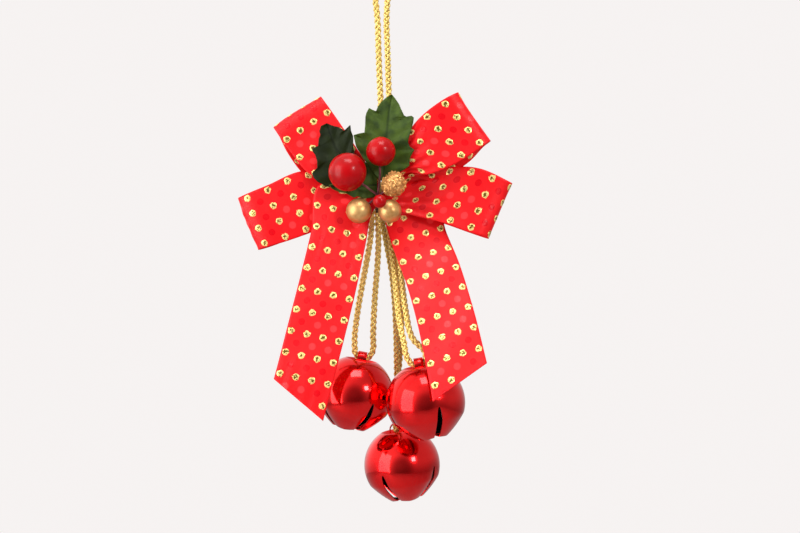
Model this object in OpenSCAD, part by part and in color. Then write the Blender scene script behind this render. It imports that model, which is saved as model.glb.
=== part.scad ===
// Hanging bell ornament: a ribbon bow with a berry pick, and three jingle bells on braided cords.
// Origin: inner top of the hanging loop. +Z up, +X to the right, the front faces -Y. Millimetres.

/* [Ribbon] */
// Width of the ribbon
ribbon_w = 30; // [29:0.5:31]
// Thickness of the ribbon
ribbon_t = 0.5; // [0.3:0.1:0.6]
// Height of the gathered ribbon at the knot
neck_h = 11; // [9:0.5:11]

/* [Bells] */
// Outer diameter of a bell
bell_d = 41; // [39:0.5:41]
// Wall thickness of a bell shell
bell_wall = 0.6; // [0.4:0.1:1]
// Width of the sound slots
slot_w = 2.7; // [2:0.1:3.5]
// Diameter of the loose pellet inside a bell
pellet_d = 8; // [6:0.5:9]

/* [Shanks] */
// Width of the strap that a cord passes through
strap_w = 4.8; // [4:0.1:5]
// Thickness of the strap
strap_t = 0.7; // [0.5:0.1:0.8]
// Inner radius of the strap's arch
arch_r = 3.1; // [3:0.1:3.2]

/* [Cords] */
// Diameter of the braided cord
cord_d = 3; // [2.6:0.1:3]

/* [Pick] */
// Diameter of the large berry
large_berry_d = 20; // [16:0.5:20]
// Diameter of the medium berry
medium_berry_d = 15.4; // [12:0.2:15.4]
// Diameter of the small berry
small_berry_d = 7; // [5:0.2:7]
// Diameter of the left gold ball
left_ball_d = 13.2; // [10:0.2:13.2]
// Diameter of the right gold ball
right_ball_d = 12.4; // [10:0.2:12.4]
// Diameter of the glitter nugget
nugget_d = 13; // [10:0.5:13]
// Thickness of a leaf
leaf_t = 0.6; // [0.4:0.1:0.8]
// Diameter of a stem wire
stem_d = 1; // [0.6:0.1:1.2]

/* [Hidden] */
$fn = 64;

// The knot, where every ribbon, cord and stem is tied
knot = [0, 0, -130];

// Sides of a cord's tube
cord_sides = 8;

// Bells: place of the centre, lean of the foot about Y, turn of the slots, turn of the shank
left_bell = [-14, 1.5, -236.3];
left_lean = 11;
left_slots = 32;
right_bell = [23.3, -19, -238.1];
right_lean = -10;
right_slots = 18;
lower_bell = [11.2, 10, -275.6];
lower_lean = -9;
lower_slots = -32;
lower_shank_turn = 90;

bell_r = bell_d / 2;
flat_z = -0.905 * bell_r;
// Height of a shank's hole above the centre of its bell
hole_z = 19.4;
// Dish round the shank: height and radius of its floor
dish_z = 15.8;
dish_r = 7.2;
pellet_drop = 13.4;

// Pick: places of the balls
large_berry_at = [-17, -20, -119.4];
medium_berry_at = [0.2, -18, -108.6];
small_berry_at = [-0.3, -25, -134.8];
left_ball_at = [-11.3, -16.5, -139.2];
right_ball_at = [4.8, -16.5, -139.4];
nugget_at = [6.9, -17, -125.4];
stem_root = [-1, -9.4, -130];

// Route of each cord
hanger_route = [
    [-2.8, 5.5, -126.5], [-2.2, 5.5, -112], [-1, 4.5, -97], [-0.3, 3.5, -82], [-0.9, 2.5, -66],
    [-1.4, 1.5, -52], [-1.9, 1, -37], [-3.2, 0.5, -25], [-5.6, 0, -14], [-6.5, 0, -5],
    [-4.6, 0, -0.4], [0, 0, 1.5], [4.6, 0, -0.4], [6.5, 0, -5],
    [5.6, 0, -14], [3.6, 0.5, -25], [2.9, 1, -37], [3.4, 1.5, -52], [3.8, 2.5, -66],
    [4.3, 3.5, -82], [4.2, 4.5, -97], [3.6, 5.5, -112], [2.9, 5.5, -126.5]
];
left_route = [
    [-6, 5.5, -129.5], [-5, 5, -141], [-5.8, 4.5, -153], [-8.1, 3.5, -167], [-10.9, 3, -182],
    [-13.1, 2, -196], [-14.2, 1.5, -207], [-14.1, 1.5, -211.6], [-13.9, 1.5, -214.1],
    [-12.5, 1.5, -216.1], [-10.3, 1.5, -217.2], [-7.8, 1.5, -217.1], [-5.7, 1.5, -215.7],
    [-4.6, 1.5, -213.4], [-4.3, 1.6, -205], [-4, 2, -196], [-3.2, 3, -182], [-2, 3.5, -167],
    [-1.5, 4.5, -153], [-2.1, 5.3, -139], [-2.8, 5.5, -129.5]
];
right_route = [
    [2.8, 5.5, -129.5], [3.6, 5.8, -142], [5.2, 3.6, -156], [6.9, -2, -170], [8.2, -7.5, -184],
    [10, -14, -198], [12, -17.4, -207], [13.8, -19, -215.2], [15.3, -19, -217.7],
    [17.5, -19, -219], [19.9, -19, -219], [22.1, -19, -217.8], [23.4, -19, -215.7],
    [23.3, -19, -213.2], [21.9, -18.9, -210.4], [19.2, -18.7, -208.2], [16.7, -18, -205.4],
    [14.9, -16.6, -201], [13.7, -13.6, -195], [12.7, -10.4, -189], [12, -7.5, -184],
    [10.4, -2, -170], [8.7, 3.6, -156], [7, 5.8, -142], [6, 5.5, -129.5]
];
lower_route = [
    [-2.6, 10, -129.5], [0.2, 10, -143], [3, 10, -157], [5.5, 9.8, -171], [7, 9.2, -185],
    [7.8, 8.6, -199], [8.2, 8.3, -213], [8.4, 8.2, -225], [8.5, 7.6, -237], [8.1, 6.1, -245],
    [7.8, 4.9, -251.6], [7.9, 5.5, -254.1], [8.1, 7.3, -256], [8.2, 10, -256.6],
    [8.1, 12.7, -256], [7.9, 14.5, -254.1], [7.8, 15.1, -251.6], [8.2, 13.8, -245],
    [8.7, 12.4, -237], [9.4, 11.8, -225], [10.3, 11.6, -213], [10.9, 11.4, -199],
    [10.4, 11, -185], [9.1, 10.4, -171], [6.6, 10, -157], [4.3, 10, -143], [2.6, 10, -129.5]
];

// A closed tube of diameter d through the points of a route that stays roughly in an XZ or YZ plane
function unit(v) = v / norm(v);
function heading(p, i) = unit(p[min(i + 1, len(p) - 1)] - p[max(i - 1, 0)]);
function ring_point(p, i, a, r, plane_normal) =
    let (t = heading(p, i), n = unit(cross(t, plane_normal)), b = cross(n, t))
    p[i] + r * (n * cos(a) + b * sin(a));
module cord_tube(p, plane_normal = [0, 1, 0]) {
    n = cord_sides;
    m = len(p);
    points = [for (i = [0:m - 1], k = [0:n - 1])
        ring_point(p, i, 360 * k / n, cord_d / 2, plane_normal)];
    walls = [for (i = [0:m - 2], k = [0:n - 1])
        [i * n + k, i * n + (k + 1) % n, (i + 1) * n + (k + 1) % n, (i + 1) * n + k]];
    start = [for (k = [0:n - 1]) n - 1 - k];
    finish = [for (k = [0:n - 1]) (m - 1) * n + k];
    color("gold") polyhedron(points, concat([start, finish], walls), convexity = 6);
}
module hanger_cord() { cord_tube(hanger_route); }
module left_bell_cord() { cord_tube(left_route); }
module right_bell_cord() { cord_tube(right_route); }
module lower_bell_cord() { cord_tube(lower_route, [0.5, 0.8, 0]); }

// Wire that ties the gathered necks: a flat band round them, in the YZ plane
tie_front = -7.2;
tie_back = 8.1;
tie_half_w = 0.8;
tie_t = 0.9;
module rounded_rect(w, h, r) {
    square([w - 2 * r, h], center = true);
    square([w, h - 2 * r], center = true);
    for (x = [-1, 1], y = [-1, 1]) translate([x * (w / 2 - r), y * (h / 2 - r)]) circle(r);
}
module tie_wire() {
    depth = tie_back - tie_front;
    height = neck_h + 3;
    color("goldenrod") translate([-tie_half_w, (tie_back + tie_front) / 2, knot[2]]) rotate([90, 0, 90])
        linear_extrude(2 * tie_half_w) difference() {
            rounded_rect(depth, height, 3);
            rounded_rect(depth - 2 * tie_t, height - 2 * tie_t, 2.1);
        }
}

// A solid from an outline in the XZ plane, through the whole depth
module xz_prism(outline) {
    rotate([90, 0, 0]) linear_extrude(150, center = true) polygon(outline);
}

// A bow loop in section: flat neck, then a pillow that closes in a round fold at its far end.
// front and back are how far each side bulges from the neck, at -Y and +Y.
loop_neck = 13;
// How far the flat neck runs past the knot, and the loop's width before its outline trims it
neck_over = 40;
loop_span = 120;
loop_steps = 20;
function loop_half(t, bulge, base) = base * (1 - t * t) + bulge * sin(180 * t) * sin(90 * t);
function loop_section(start, reach, front, back, base) = concat(
    [for (i = [0:loop_steps]) let (t = i / loop_steps) [start + (reach - start) * (1 - cos(180 * t)) / 2,
        -loop_half(t, front, base)]],
    [for (i = [loop_steps - 1:-1:0]) let (t = i / loop_steps) [start + (reach - start) * (1 - cos(180 * t)) / 2,
        loop_half(t, back, base)]]);
// way is the direction of the loop, square to its fold, in degrees from +X towards +Z.
module ribbon_loop(outline, way, reach, front, back, neck_y) {
    base = 1.3;
    intersection() {
        translate([0, neck_y, knot[2]]) rotate([0, -way, 0])
            linear_extrude(loop_span, center = true) difference() {
                union() {
                    polygon(loop_section(loop_neck, reach, front, back, base));
                    translate([-neck_over, -base]) square([neck_over + loop_neck + 1, 2 * base]);
                }
                polygon(loop_section(loop_neck + 3, reach - ribbon_t, front - 0.4 * ribbon_t,
                    back - 0.4 * ribbon_t, base - ribbon_t));
            }
        xz_prism(outline);
    }
}
half_neck = neck_h / 2;
module upper_left_loop() {
    color("red") ribbon_loop([[-0.5, knot[2] - half_neck], [-0.5, knot[2] + half_neck], [-8, -122],
        [-32, -77.6], [-57.2, -94.3], [-42, -116.5], [-12, -125.8]], 123.5, 61, 3.4, 8, -2.6);
}
module upper_right_loop() {
    color("red") ribbon_loop([[0.5, knot[2] - half_neck], [0.5, knot[2] + half_neck], [8, -120],
        [41, -76.8], [57.7, -102.3], [38, -119.5], [12, -126]], 33.3, 64, 13, 1, -2.6);
}
module lower_left_loop() {
    color("red") ribbon_loop([[-0.5, knot[2] - half_neck], [-0.5, knot[2] + half_neck],
        [-12, -126.8], [-42, -117.5], [-77, -131.6], [-65.7, -159.3], [-36, -150], [-14, -139]],
        202, 71.5, 4, 8, 0.6);
}
module lower_right_loop() {
    color("red") ribbon_loop([[0.5, knot[2] - half_neck], [0.5, knot[2] + half_neck], [12, -127],
        [38, -120.6], [70.3, -124.2], [57, -153.4], [34, -145.5], [12, -139]],
        -24.5, 62.5, 10, 0.2, 0.6);
}

// A tail hangs from the knot: an outline seen from the front, and how far forward it comes on the way down
module ribbon_tail(outline, side) {
    strip = concat(side, [for (i = [len(side) - 1:-1:0]) side[i] + [ribbon_t, 0]]);
    intersection() {
        rotate([90, 0, 90]) linear_extrude(150, center = true) polygon(strip);
        xz_prism(outline);
    }
}
module left_tail() {
    color("red") ribbon_tail([[-0.5, -125.2], [-0.5, -134.8], [-5.9, -144], [-10.1, -164], [-21.4, -209],
        [-30, -247.8], [-54.9, -225.6], [-44.5, -180], [-37.9, -151], [-34, -127], [-12, -124.5]],
        [[-5.6, -120], [-5.6, -134], [-8.4, -146], [-16, -180], [-22, -212], [-25.2, -232],
        [-26.5, -250]]);
}
module right_tail() {
    color("red") ribbon_tail([[0.5, -125.2], [0.5, -134.8], [3.7, -143.3], [7.5, -159.3], [11.8, -175],
        [16.8, -190.6], [20.3, -205], [23.3, -218], [26.2, -235.2], [52, -217.4], [46.5, -185.5],
        [33, -144.5], [30, -134], [12, -124.5]],
        [[2.5, -120], [2.7, -134], [3, -142], [2.4, -147], [-0.8, -156], [-10.5, -174], [-22.5, -196],
        [-34.6, -218], [-45, -237]]);
}

// Leaves: flat prickly outlines
module leaf(outline, y) {
    color("darkgreen") translate([0, y, 0]) rotate([90, 0, 0]) linear_extrude(leaf_t) polygon(outline);
}
module left_leaf() {
    leaf([[-9, -123], [-13.5, -114], [-14, -107], [-15.5, -103], [-17, -95.5], [-22, -97.5],
        [-27.5, -96.5], [-30, -95], [-31.5, -100], [-35, -105.5], [-33, -110], [-35, -116.5],
        [-30, -118.5], [-26.5, -123.5], [-20, -123]], -8.9);
}
module right_leaf() {
    leaf([[-1, -124], [-6, -116], [-10.5, -109], [-12.5, -100], [-9.5, -97], [-7.8, -85],
        [-2, -84.5], [1, -82], [5.8, -78.5], [9, -85], [16.5, -88.5], [13.5, -96], [17, -105.5],
        [12, -109.5], [13, -115], [6, -119], [3, -124]], -8.1);
}
module middle_leaf() {
    leaf([[-4, -119], [-7, -120], [-10, -124], [-20.5, -128], [-17, -130.5], [-8, -131.5],
        [-4, -132], [-4.4, -125]], -9.8);
}

// Berries, balls and nugget of the pick
module ball(at, d, colour) { color(colour) translate(at) sphere(d / 2); }
module large_red_berry() { ball(large_berry_at, large_berry_d, "crimson"); }
module medium_red_berry() { ball(medium_berry_at, medium_berry_d, "crimson"); }
module small_red_berry() { ball(small_berry_at, small_berry_d, "crimson"); }
module left_gold_ball() { ball(left_ball_at, left_ball_d, "goldenrod"); }
module right_gold_ball() { ball(right_ball_at, right_ball_d, "goldenrod"); }
module glitter_nugget() { ball(nugget_at, nugget_d, "peru"); }

// One straight wire from the root of the pick into the back of each ball
module wire(from, to) {
    v = to - from;
    translate(from) rotate([0, acos(v[2] / norm(v)), atan2(v[1], v[0])]) cylinder(d = stem_d, h = norm(v));
}
module pick_stems() {
    color("maroon") for (ball = [[large_berry_at, large_berry_d], [medium_berry_at, medium_berry_d],
            [small_berry_at, small_berry_d], [left_ball_at, left_ball_d],
            [right_ball_at, right_ball_d], [nugget_at, nugget_d]]) {
        way = unit(stem_root - ball[0]);
        wire(stem_root, ball[0] + way * (ball[1] / 2 - 1.2));
    }
}
module pick_wrap() {
    color("darkgreen") translate([stem_root[0], stem_root[1] - 0.6, knot[2] - 6]) cylinder(d = 3.4, h = 7.5);
}

// Bells. A bell's own frame has its centre at the origin and its shank at the top.
module at_bell(centre, lean) { translate(centre) rotate([0, lean, 0]) children(); }
module dome(r, low) {
    rotate_extrude() intersection() {
        circle(r);
        translate([0, low]) square([r + 1, 2 * r]);
    }
}
module shank(turn, gap = 0) {
    r = arch_r + strap_t;
    leg_end = dish_z - bell_wall - strap_t - 0.05;
    tab = 3;
    rotate(turn) difference() {
        union() {
            translate([-strap_w / 2, 0, hole_z]) rotate([0, 90, 0]) cylinder(r = r, h = strap_w);
            translate([-strap_w / 2 - gap, -r - gap, leg_end])
                cube([strap_w + 2 * gap, 2 * (r + gap), hole_z - leg_end]);
            translate([-strap_w / 2, -r - tab, leg_end]) cube([strap_w, 2 * (r + tab), strap_t]);
        }
        translate([-strap_w, 0, hole_z]) rotate([0, 90, 0]) cylinder(r = arch_r, h = 2 * strap_w);
        translate([-strap_w, -arch_r + gap, leg_end - 1])
            cube([2 * strap_w, 2 * (arch_r - gap), hole_z - leg_end + 1]);
    }
}
module dish(gap) {
    translate([0, 0, dish_z - gap]) cylinder(r1 = dish_r + gap, r2 = dish_r + gap + 2, h = 6);
}
module dished_dome(inset) {
    difference() {
        dome(bell_r - inset, flat_z + inset);
        dish(inset);
    }
}
module bell_shell(slots, turn) {
    color("firebrick") difference() {
        dished_dome(0);
        dished_dome(bell_wall);
        for (a = [0, 90]) rotate(slots + a) {
            translate([-slot_w / 2, -bell_r - 1, -bell_r - 1]) cube([slot_w, 2 * bell_r + 2, bell_r + 1]);
            rotate([90, 0, 0]) translate([0, 0, -bell_r - 1]) cylinder(d = slot_w, h = 2 * bell_r + 2);
        }
        shank(turn, 0.05);
    }
}
module bell_shank(turn) { color("firebrick") shank(turn); }
module pellet(centre) { color("silver") translate(centre - [0, 0, pellet_drop]) sphere(pellet_d / 2); }

module left_bell_shell() { at_bell(left_bell, left_lean) bell_shell(left_slots, 0); }
module left_bell_shank() { at_bell(left_bell, left_lean) bell_shank(0); }
module left_bell_pellet() { pellet(left_bell); }
module right_bell_shell() { at_bell(right_bell, right_lean) bell_shell(right_slots, 0); }
module right_bell_shank() { at_bell(right_bell, right_lean) bell_shank(0); }
module right_bell_pellet() { pellet(right_bell); }
module lower_bell_shell() { at_bell(lower_bell, lower_lean) bell_shell(lower_slots, lower_shank_turn); }
module lower_bell_shank() { at_bell(lower_bell, lower_lean) bell_shank(lower_shank_turn); }
module lower_bell_pellet() { pellet(lower_bell); }

hanger_cord();
tie_wire();
upper_left_loop();
upper_right_loop();
lower_left_loop();
lower_right_loop();
left_tail();
right_tail();
left_leaf();
right_leaf();
middle_leaf();
large_red_berry();
medium_red_berry();
small_red_berry();
left_gold_ball();
right_gold_ball();
glitter_nugget();
pick_stems();
pick_wrap();
left_bell_cord();
right_bell_cord();
lower_bell_cord();
left_bell_shell();
left_bell_shank();
left_bell_pellet();
right_bell_shell();
right_bell_shank();
right_bell_pellet();
lower_bell_shell();
lower_bell_shank();
lower_bell_pellet();
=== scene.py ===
"""Looks of a hanging bell ornament: a ribbon bow with a berry pick, braided cords and jingle bells."""

from __future__ import annotations

import logging
import math
from dataclasses import dataclass, field
from enum import Enum

import bpy
import numpy as np
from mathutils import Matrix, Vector, noise


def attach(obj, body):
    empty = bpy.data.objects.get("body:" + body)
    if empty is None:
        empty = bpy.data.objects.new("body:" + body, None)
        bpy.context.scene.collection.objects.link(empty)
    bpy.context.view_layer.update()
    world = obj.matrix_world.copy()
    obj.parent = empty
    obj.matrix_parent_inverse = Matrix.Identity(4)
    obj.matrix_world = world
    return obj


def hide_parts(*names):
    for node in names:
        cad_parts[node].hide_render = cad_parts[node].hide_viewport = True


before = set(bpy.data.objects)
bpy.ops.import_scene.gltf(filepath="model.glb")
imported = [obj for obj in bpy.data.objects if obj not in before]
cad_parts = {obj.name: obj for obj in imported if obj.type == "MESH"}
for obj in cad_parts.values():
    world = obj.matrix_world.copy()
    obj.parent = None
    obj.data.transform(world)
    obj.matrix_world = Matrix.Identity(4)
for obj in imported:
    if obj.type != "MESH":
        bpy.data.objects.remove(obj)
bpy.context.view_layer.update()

log = logging.getLogger("ornament")
MM = 0.001
LEAST_WEIGHT = 0.002  # vertices weighted less than this are left out of a group
SAMPLES = 24  # samples of a smooth curve between two of its points
Point = tuple[float, float, float]
Colour = tuple[float, float, float]
Pair = tuple[float, float]
Edges = list[tuple[Point, Point]]
Object, Material = bpy.types.Object, bpy.types.Material
Tree, Node, Socket = bpy.types.NodeTree, bpy.types.Node, bpy.types.NodeSocket


# ---------------------------------------------------------------- camera, light and floor


@dataclass
class Studio:
    """The camera, the soft lights and the pale surroundings.

    Sizes are in metres, in the ornament's own frame.
    """

    camera_at: Point = (0.0101, -0.600, -0.1681)
    camera_lens: float = 50.6
    light_target: Point = (0.0, 0.0, -0.18)
    floor_z: float = -0.75
    floor_radius: float = 1.6
    floor_grey: Colour = (0.34, 0.33, 0.33)
    backdrop: Colour = (0.925, 0.893, 0.885)
    tent: Colour = (1.0, 0.985, 0.975)
    tent_strength: float = 0.95
    below: float = 0.40
    left_share: float = 1.35
    right_share: float = 0.60
    camera_side: float = 0.32

    def build(self) -> None:
        """Sets up everything that isn't the ornament."""
        self.add_camera()
        self.add_lights()
        self.add_floor()
        self.add_world()

    def add_camera(self) -> None:
        """Adds the camera, level and facing +Y."""
        data = bpy.data.cameras.new("camera")
        data.lens = self.camera_lens
        data.sensor_width = 36.0
        data.clip_start = 0.01
        camera = bpy.data.objects.new("camera", data)
        camera.location = self.camera_at
        camera.rotation_euler = (math.radians(90), 0, 0)
        bpy.context.scene.collection.objects.link(camera)
        bpy.context.scene.camera = camera

    def add_lights(self) -> None:
        """Adds a wide top light, a tall box on the left and a small bright lamp in front."""
        self.area_light("top_light", (0.05, -0.35, 0.75), (0.5, 0.4), 6.0)
        self.area_light("left_box", (-0.90, -0.60, -0.10), (0.75, 1.1), 11.0)
        self.area_light("right_box", (0.75, -0.95, 0.25), (0.26, 0.26), 6.0)

    def area_light(self, name: str, at: Point, size: Pair, power: float) -> None:
        """Adds one rectangular light that faces the ornament, its power in watts."""
        data = bpy.data.lights.new(name, "AREA")
        data.shape = "RECTANGLE"
        data.size, data.size_y = size
        data.energy = power
        light = bpy.data.objects.new(name, data)
        light.location = at
        light.rotation_euler = (Vector(self.light_target) - Vector(at)).to_track_quat("-Z", "Y").to_euler()
        bpy.context.scene.collection.objects.link(light)

    def add_floor(self) -> None:
        """Adds a round pale floor well below the ornament."""
        bpy.ops.mesh.primitive_circle_add(
            vertices=96, radius=self.floor_radius, fill_type="NGON", location=(0, 0, self.floor_z))
        floor = bpy.context.active_object
        floor.name = "floor"
        material, _, _ = start_material("floor", Base_Color=(*self.floor_grey, 1), Roughness=0.7)
        floor.data.materials.append(material)

    def add_world(self) -> None:
        """Adds a white tent all round, a little darker below, and a plain backdrop for the camera."""
        world = bpy.data.worlds.new("tent")
        bpy.context.scene.world = world
        world.use_nodes = True
        tree = world.node_tree
        tree.nodes.clear()
        way = put(tree, "SeparateXYZ", {0: put(tree, "TexCoord").outputs["Generated"]}).outputs
        height = remap(tree, way["Z"], -0.45, 0.25, self.below, 1.0, "SMOOTHSTEP")
        side = remap(tree, way["X"], -0.9, 0.7, self.left_share, self.right_share, "SMOOTHSTEP")
        front = remap(tree, way["Y"], -0.98, -0.72, self.camera_side, 1.0, "SMOOTHSTEP")
        share = math_node(tree, "MULTIPLY", math_node(tree, "MULTIPLY", height, side), front)
        strength = math_node(tree, "MULTIPLY", share, self.tent_strength)
        around = put(tree, "Background", {"Color": (*self.tent, 1), "Strength": strength})
        seen = put(tree, "Background", {"Color": (*self.backdrop, 1)})
        rays = put(tree, "LightPath").outputs["Is Camera Ray"]
        mix = put(tree, "MixShader", {0: rays, 1: around.outputs[0], 2: seen.outputs[0]})
        put(tree, "OutputWorld", {"Surface": mix.outputs[0]})
        bpy.context.scene.view_settings.view_transform = "Standard"


# ---------------------------------------------------------------- curves and plain mesh helpers


def run_lengths(line: np.ndarray) -> np.ndarray:
    """Gives the distance along a line at each of its points."""
    return np.concatenate([[0], np.cumsum(np.linalg.norm(np.diff(line, axis=0), axis=1))])


def places_at(line: np.ndarray, shares: np.ndarray) -> np.ndarray:
    """Gives the places at shares of a line's length."""
    run = run_lengths(line)
    return np.stack([np.interp(shares * run[-1], run, column) for column in line.T], axis=1)


def smooth_line(points: list[Point], step: float) -> np.ndarray:
    """Runs a smooth curve through points and samples it evenly.

    Args:
        points: The points, in order.
        step: Distance between samples.

    Returns:
        An array of points along the curve, its ends on the first and last point.
    """
    fine = catmull_rom(np.array(points, float), SAMPLES)
    count = max(2, int(round(run_lengths(fine)[-1] / step)) + 1)
    return places_at(fine, np.linspace(0, 1, count))


def catmull_rom(points: np.ndarray, per_span: int) -> np.ndarray:
    """Samples a smooth spline through points, its speed set by their spacing so that close points stay tidy.

    Args:
        points: The points, one a row.
        per_span: Samples in each span.

    Returns:
        The samples, with the last point at the end.
    """
    gap = np.maximum(np.linalg.norm(np.diff(points, axis=0), axis=1), 1e-9)[:, None]
    slope = np.diff(points, axis=0) / gap
    inner = (slope[:-1] * gap[1:] + slope[1:] * gap[:-1]) / (gap[:-1] + gap[1:])
    way = np.vstack([slope[:1], inner, slope[-1:]])
    t = np.linspace(0, 1, per_span, endpoint=False)[:, None]
    spans = [
        (2 * t**3 - 3 * t**2 + 1) * points[i] + (t**3 - 2 * t**2 + t) * gap[i] * way[i]
        + (3 * t**2 - 2 * t**3) * points[i + 1] + (t**3 - t**2) * gap[i] * way[i + 1]
        for i in range(len(points) - 1)
    ]
    return np.vstack([*spans, points[-1:]])


def carried_frames(line: np.ndarray) -> tuple[np.ndarray, np.ndarray]:
    """Carries a pair of side directions along a line without twisting it.

    Args:
        line: Points along the line.

    Returns:
        Two unit side directions for every point.
    """
    tangent = np.gradient(line, axis=0)
    tangent /= np.linalg.norm(tangent, axis=1, keepdims=True)
    side = np.zeros_like(line)
    start = np.cross(tangent[0], (0.0, 1.0, 0.0))
    side[0] = start / np.linalg.norm(start)
    for i in range(1, len(line)):
        moved = side[i - 1] - np.dot(side[i - 1], tangent[i]) * tangent[i]
        side[i] = moved / np.linalg.norm(moved)
    return side, np.cross(tangent, side)


def make_object(name: str, points: np.ndarray, faces: list, uv: np.ndarray | None = None) -> Object:
    """Makes a mesh object at the origin.

    Args:
        name: Name of the object.
        points: Vertex places in metres.
        faces: Vertex numbers of each face.
        uv: A UV place for each vertex, or None.

    Returns:
        The new object, shaded smooth.
    """
    mesh = bpy.data.meshes.new(name)
    mesh.from_pydata([tuple(p) for p in points], [], faces)
    if uv is not None:
        layer = mesh.uv_layers.new(name="UVMap")
        corners = np.zeros(len(mesh.loops), int)
        mesh.loops.foreach_get("vertex_index", corners)
        layer.data.foreach_set("uv", uv[corners].astype(np.float32).ravel())
    mesh.polygons.foreach_set("use_smooth", [True] * len(mesh.polygons))
    mesh.update()
    made = bpy.data.objects.new(name, mesh)
    bpy.context.scene.collection.objects.link(made)
    return made


def choose(made: Object) -> None:
    """Deselects everything, then selects one object and makes it active."""
    bpy.ops.object.select_all(action="DESELECT")
    made.select_set(True)
    bpy.context.view_layer.objects.active = made


def modify(made: Object, kind: str, **settings: object) -> None:
    """Gives an object a modifier and applies it.

    Args:
        made: The object.
        kind: The modifier's type, such as "BEVEL".
        settings: Settings of the modifier.
    """
    modifier = made.modifiers.new(kind.lower(), kind)
    for name, value in settings.items():
        setattr(modifier, name, value)
    choose(made)
    bpy.ops.object.modifier_apply(modifier=modifier.name)


def make_cloth(name: str, grid: np.ndarray, uv: np.ndarray, thickness: float) -> Object:
    """Makes a sheet with a thickness.

    Args:
        name: Name of the object.
        grid: Rows of places in millimetres.
        uv: A UV place for each of them.
        thickness: Thickness in millimetres.

    Returns:
        The new object.
    """
    rows, wide = grid.shape[:2]
    first = (np.arange(rows - 1)[:, None] * wide + np.arange(wide - 1)[None]).ravel()
    faces = np.stack([first, first + 1, first + 1 + wide, first + wide], axis=1).tolist()
    made = make_object(name, grid.reshape(-1, 3) * MM, faces, uv.reshape(-1, 2))
    modify(made, "SOLIDIFY", thickness=thickness * MM, offset=0)
    return made


def settle(made: Object, at: Point = (0, 0, 0), turn: Point = (0, 0, 0)) -> None:
    """Moves an object by millimetres, turns it by degrees and puts its place, turn and size into its mesh."""
    if any(at):
        made.location = [c * MM for c in at]
    if any(turn):
        made.rotation_euler = [math.radians(a) for a in turn]
    choose(made)
    bpy.ops.object.transform_apply(location=True, rotation=True, scale=True)


def dress(made: Object, body: str, slot: str, node: str, *materials: Material) -> None:
    """Gives a finished piece its materials, body and CAD node, and logs it.

    Args:
        made: The piece.
        body: The CAD body that it rides on.
        slot: The record's material slot; not used.
        node: The CAD node that it stands for, or nothing.
        materials: Its materials, in slot order, if it has none yet.
    """
    for material in materials:
        made.data.materials.append(material)
    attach(made, body)
    if node:
        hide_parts(node)
    log.info("%s: %d faces on %s", made.name, len(made.data.polygons), body)


# ---------------------------------------------------------------- shader helpers and shared effects


def put(tree: Tree, kind: str, inputs: dict | None = None, **settings: object) -> Node:
    """Adds a shader node, sets it up and links it.

    Args:
        tree: The node tree.
        kind: The node's type without its ShaderNode prefix.
        inputs: For each input name or number, a value or the socket that feeds it.
        settings: Properties of the node.

    Returns:
        The new node.
    """
    made = tree.nodes.new("ShaderNode" + kind)
    for name, value in settings.items():
        setattr(made, name, value)
    for key, value in (inputs or {}).items():
        if isinstance(value, Socket):
            tree.links.new(value, made.inputs[key])
        else:
            made.inputs[key].default_value = value
    return made


def math_node(tree: Tree, operation: str, *values: object) -> Socket:
    """Adds a Math node and returns its result."""
    return put(tree, "Math", dict(enumerate(values)), operation=operation).outputs[0]


def vector_node(tree: Tree, operation: str, *values: object) -> Socket:
    """Adds a Vector Math node and returns its result, which is a number for a length or a dot product."""
    made = put(tree, "VectorMath", dict(enumerate(values)), operation=operation)
    return made.outputs["Value" if operation in ("LENGTH", "DOT_PRODUCT") else "Vector"]


def scaled(tree: Tree, vector: Socket, amount: Socket) -> Socket:
    """Scales a vector and returns the result."""
    return put(tree, "VectorMath", {0: vector, 3: amount}, operation="SCALE").outputs[0]


def remap(tree: Tree, value: Socket, start: float, end: float, low: float = 0.0, high: float = 1.0,
          kind: str = "LINEAR") -> Socket:
    """Maps a number from one range to another, held at both ends, and returns the result."""
    inputs = {"Value": value, "From Min": start, "From Max": end, "To Min": low, "To Max": high}
    return put(tree, "MapRange", inputs, interpolation_type=kind).outputs[0]


def mix_colour(tree: Tree, factor: Socket, low: Colour | Socket, high: Colour | Socket) -> Socket:
    """Mixes two colours and returns the result."""
    low, high = ((*colour, 1) if isinstance(colour, tuple) else colour for colour in (low, high))
    return put(tree, "Mix", {0: factor, 6: low, 7: high}, data_type="RGBA").outputs[2]


def mix_value(tree: Tree, factor: float | Socket, low: float | Socket, high: float | Socket) -> Socket:
    """Mixes two numbers and returns the result."""
    return put(tree, "Mix", {0: factor, 2: low, 3: high}, data_type="FLOAT").outputs[0]


def start_group(name: str, inputs: dict[str, str], outputs: dict[str, str]) -> tuple:
    """Starts a shader node group with named sockets.

    Args:
        name: Name of the group.
        inputs: Each input's name and socket kind.
        outputs: Each output's name and socket kind.

    Returns:
        The group, its input node and its output node.
    """
    group = bpy.data.node_groups.new(name, "ShaderNodeTree")
    for label, kind in inputs.items():
        group.interface.new_socket(label, in_out="INPUT", socket_type="NodeSocket" + kind)
    for label, kind in outputs.items():
        group.interface.new_socket(label, in_out="OUTPUT", socket_type="NodeSocket" + kind)
    return group, group.nodes.new("NodeGroupInput"), group.nodes.new("NodeGroupOutput")


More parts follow.
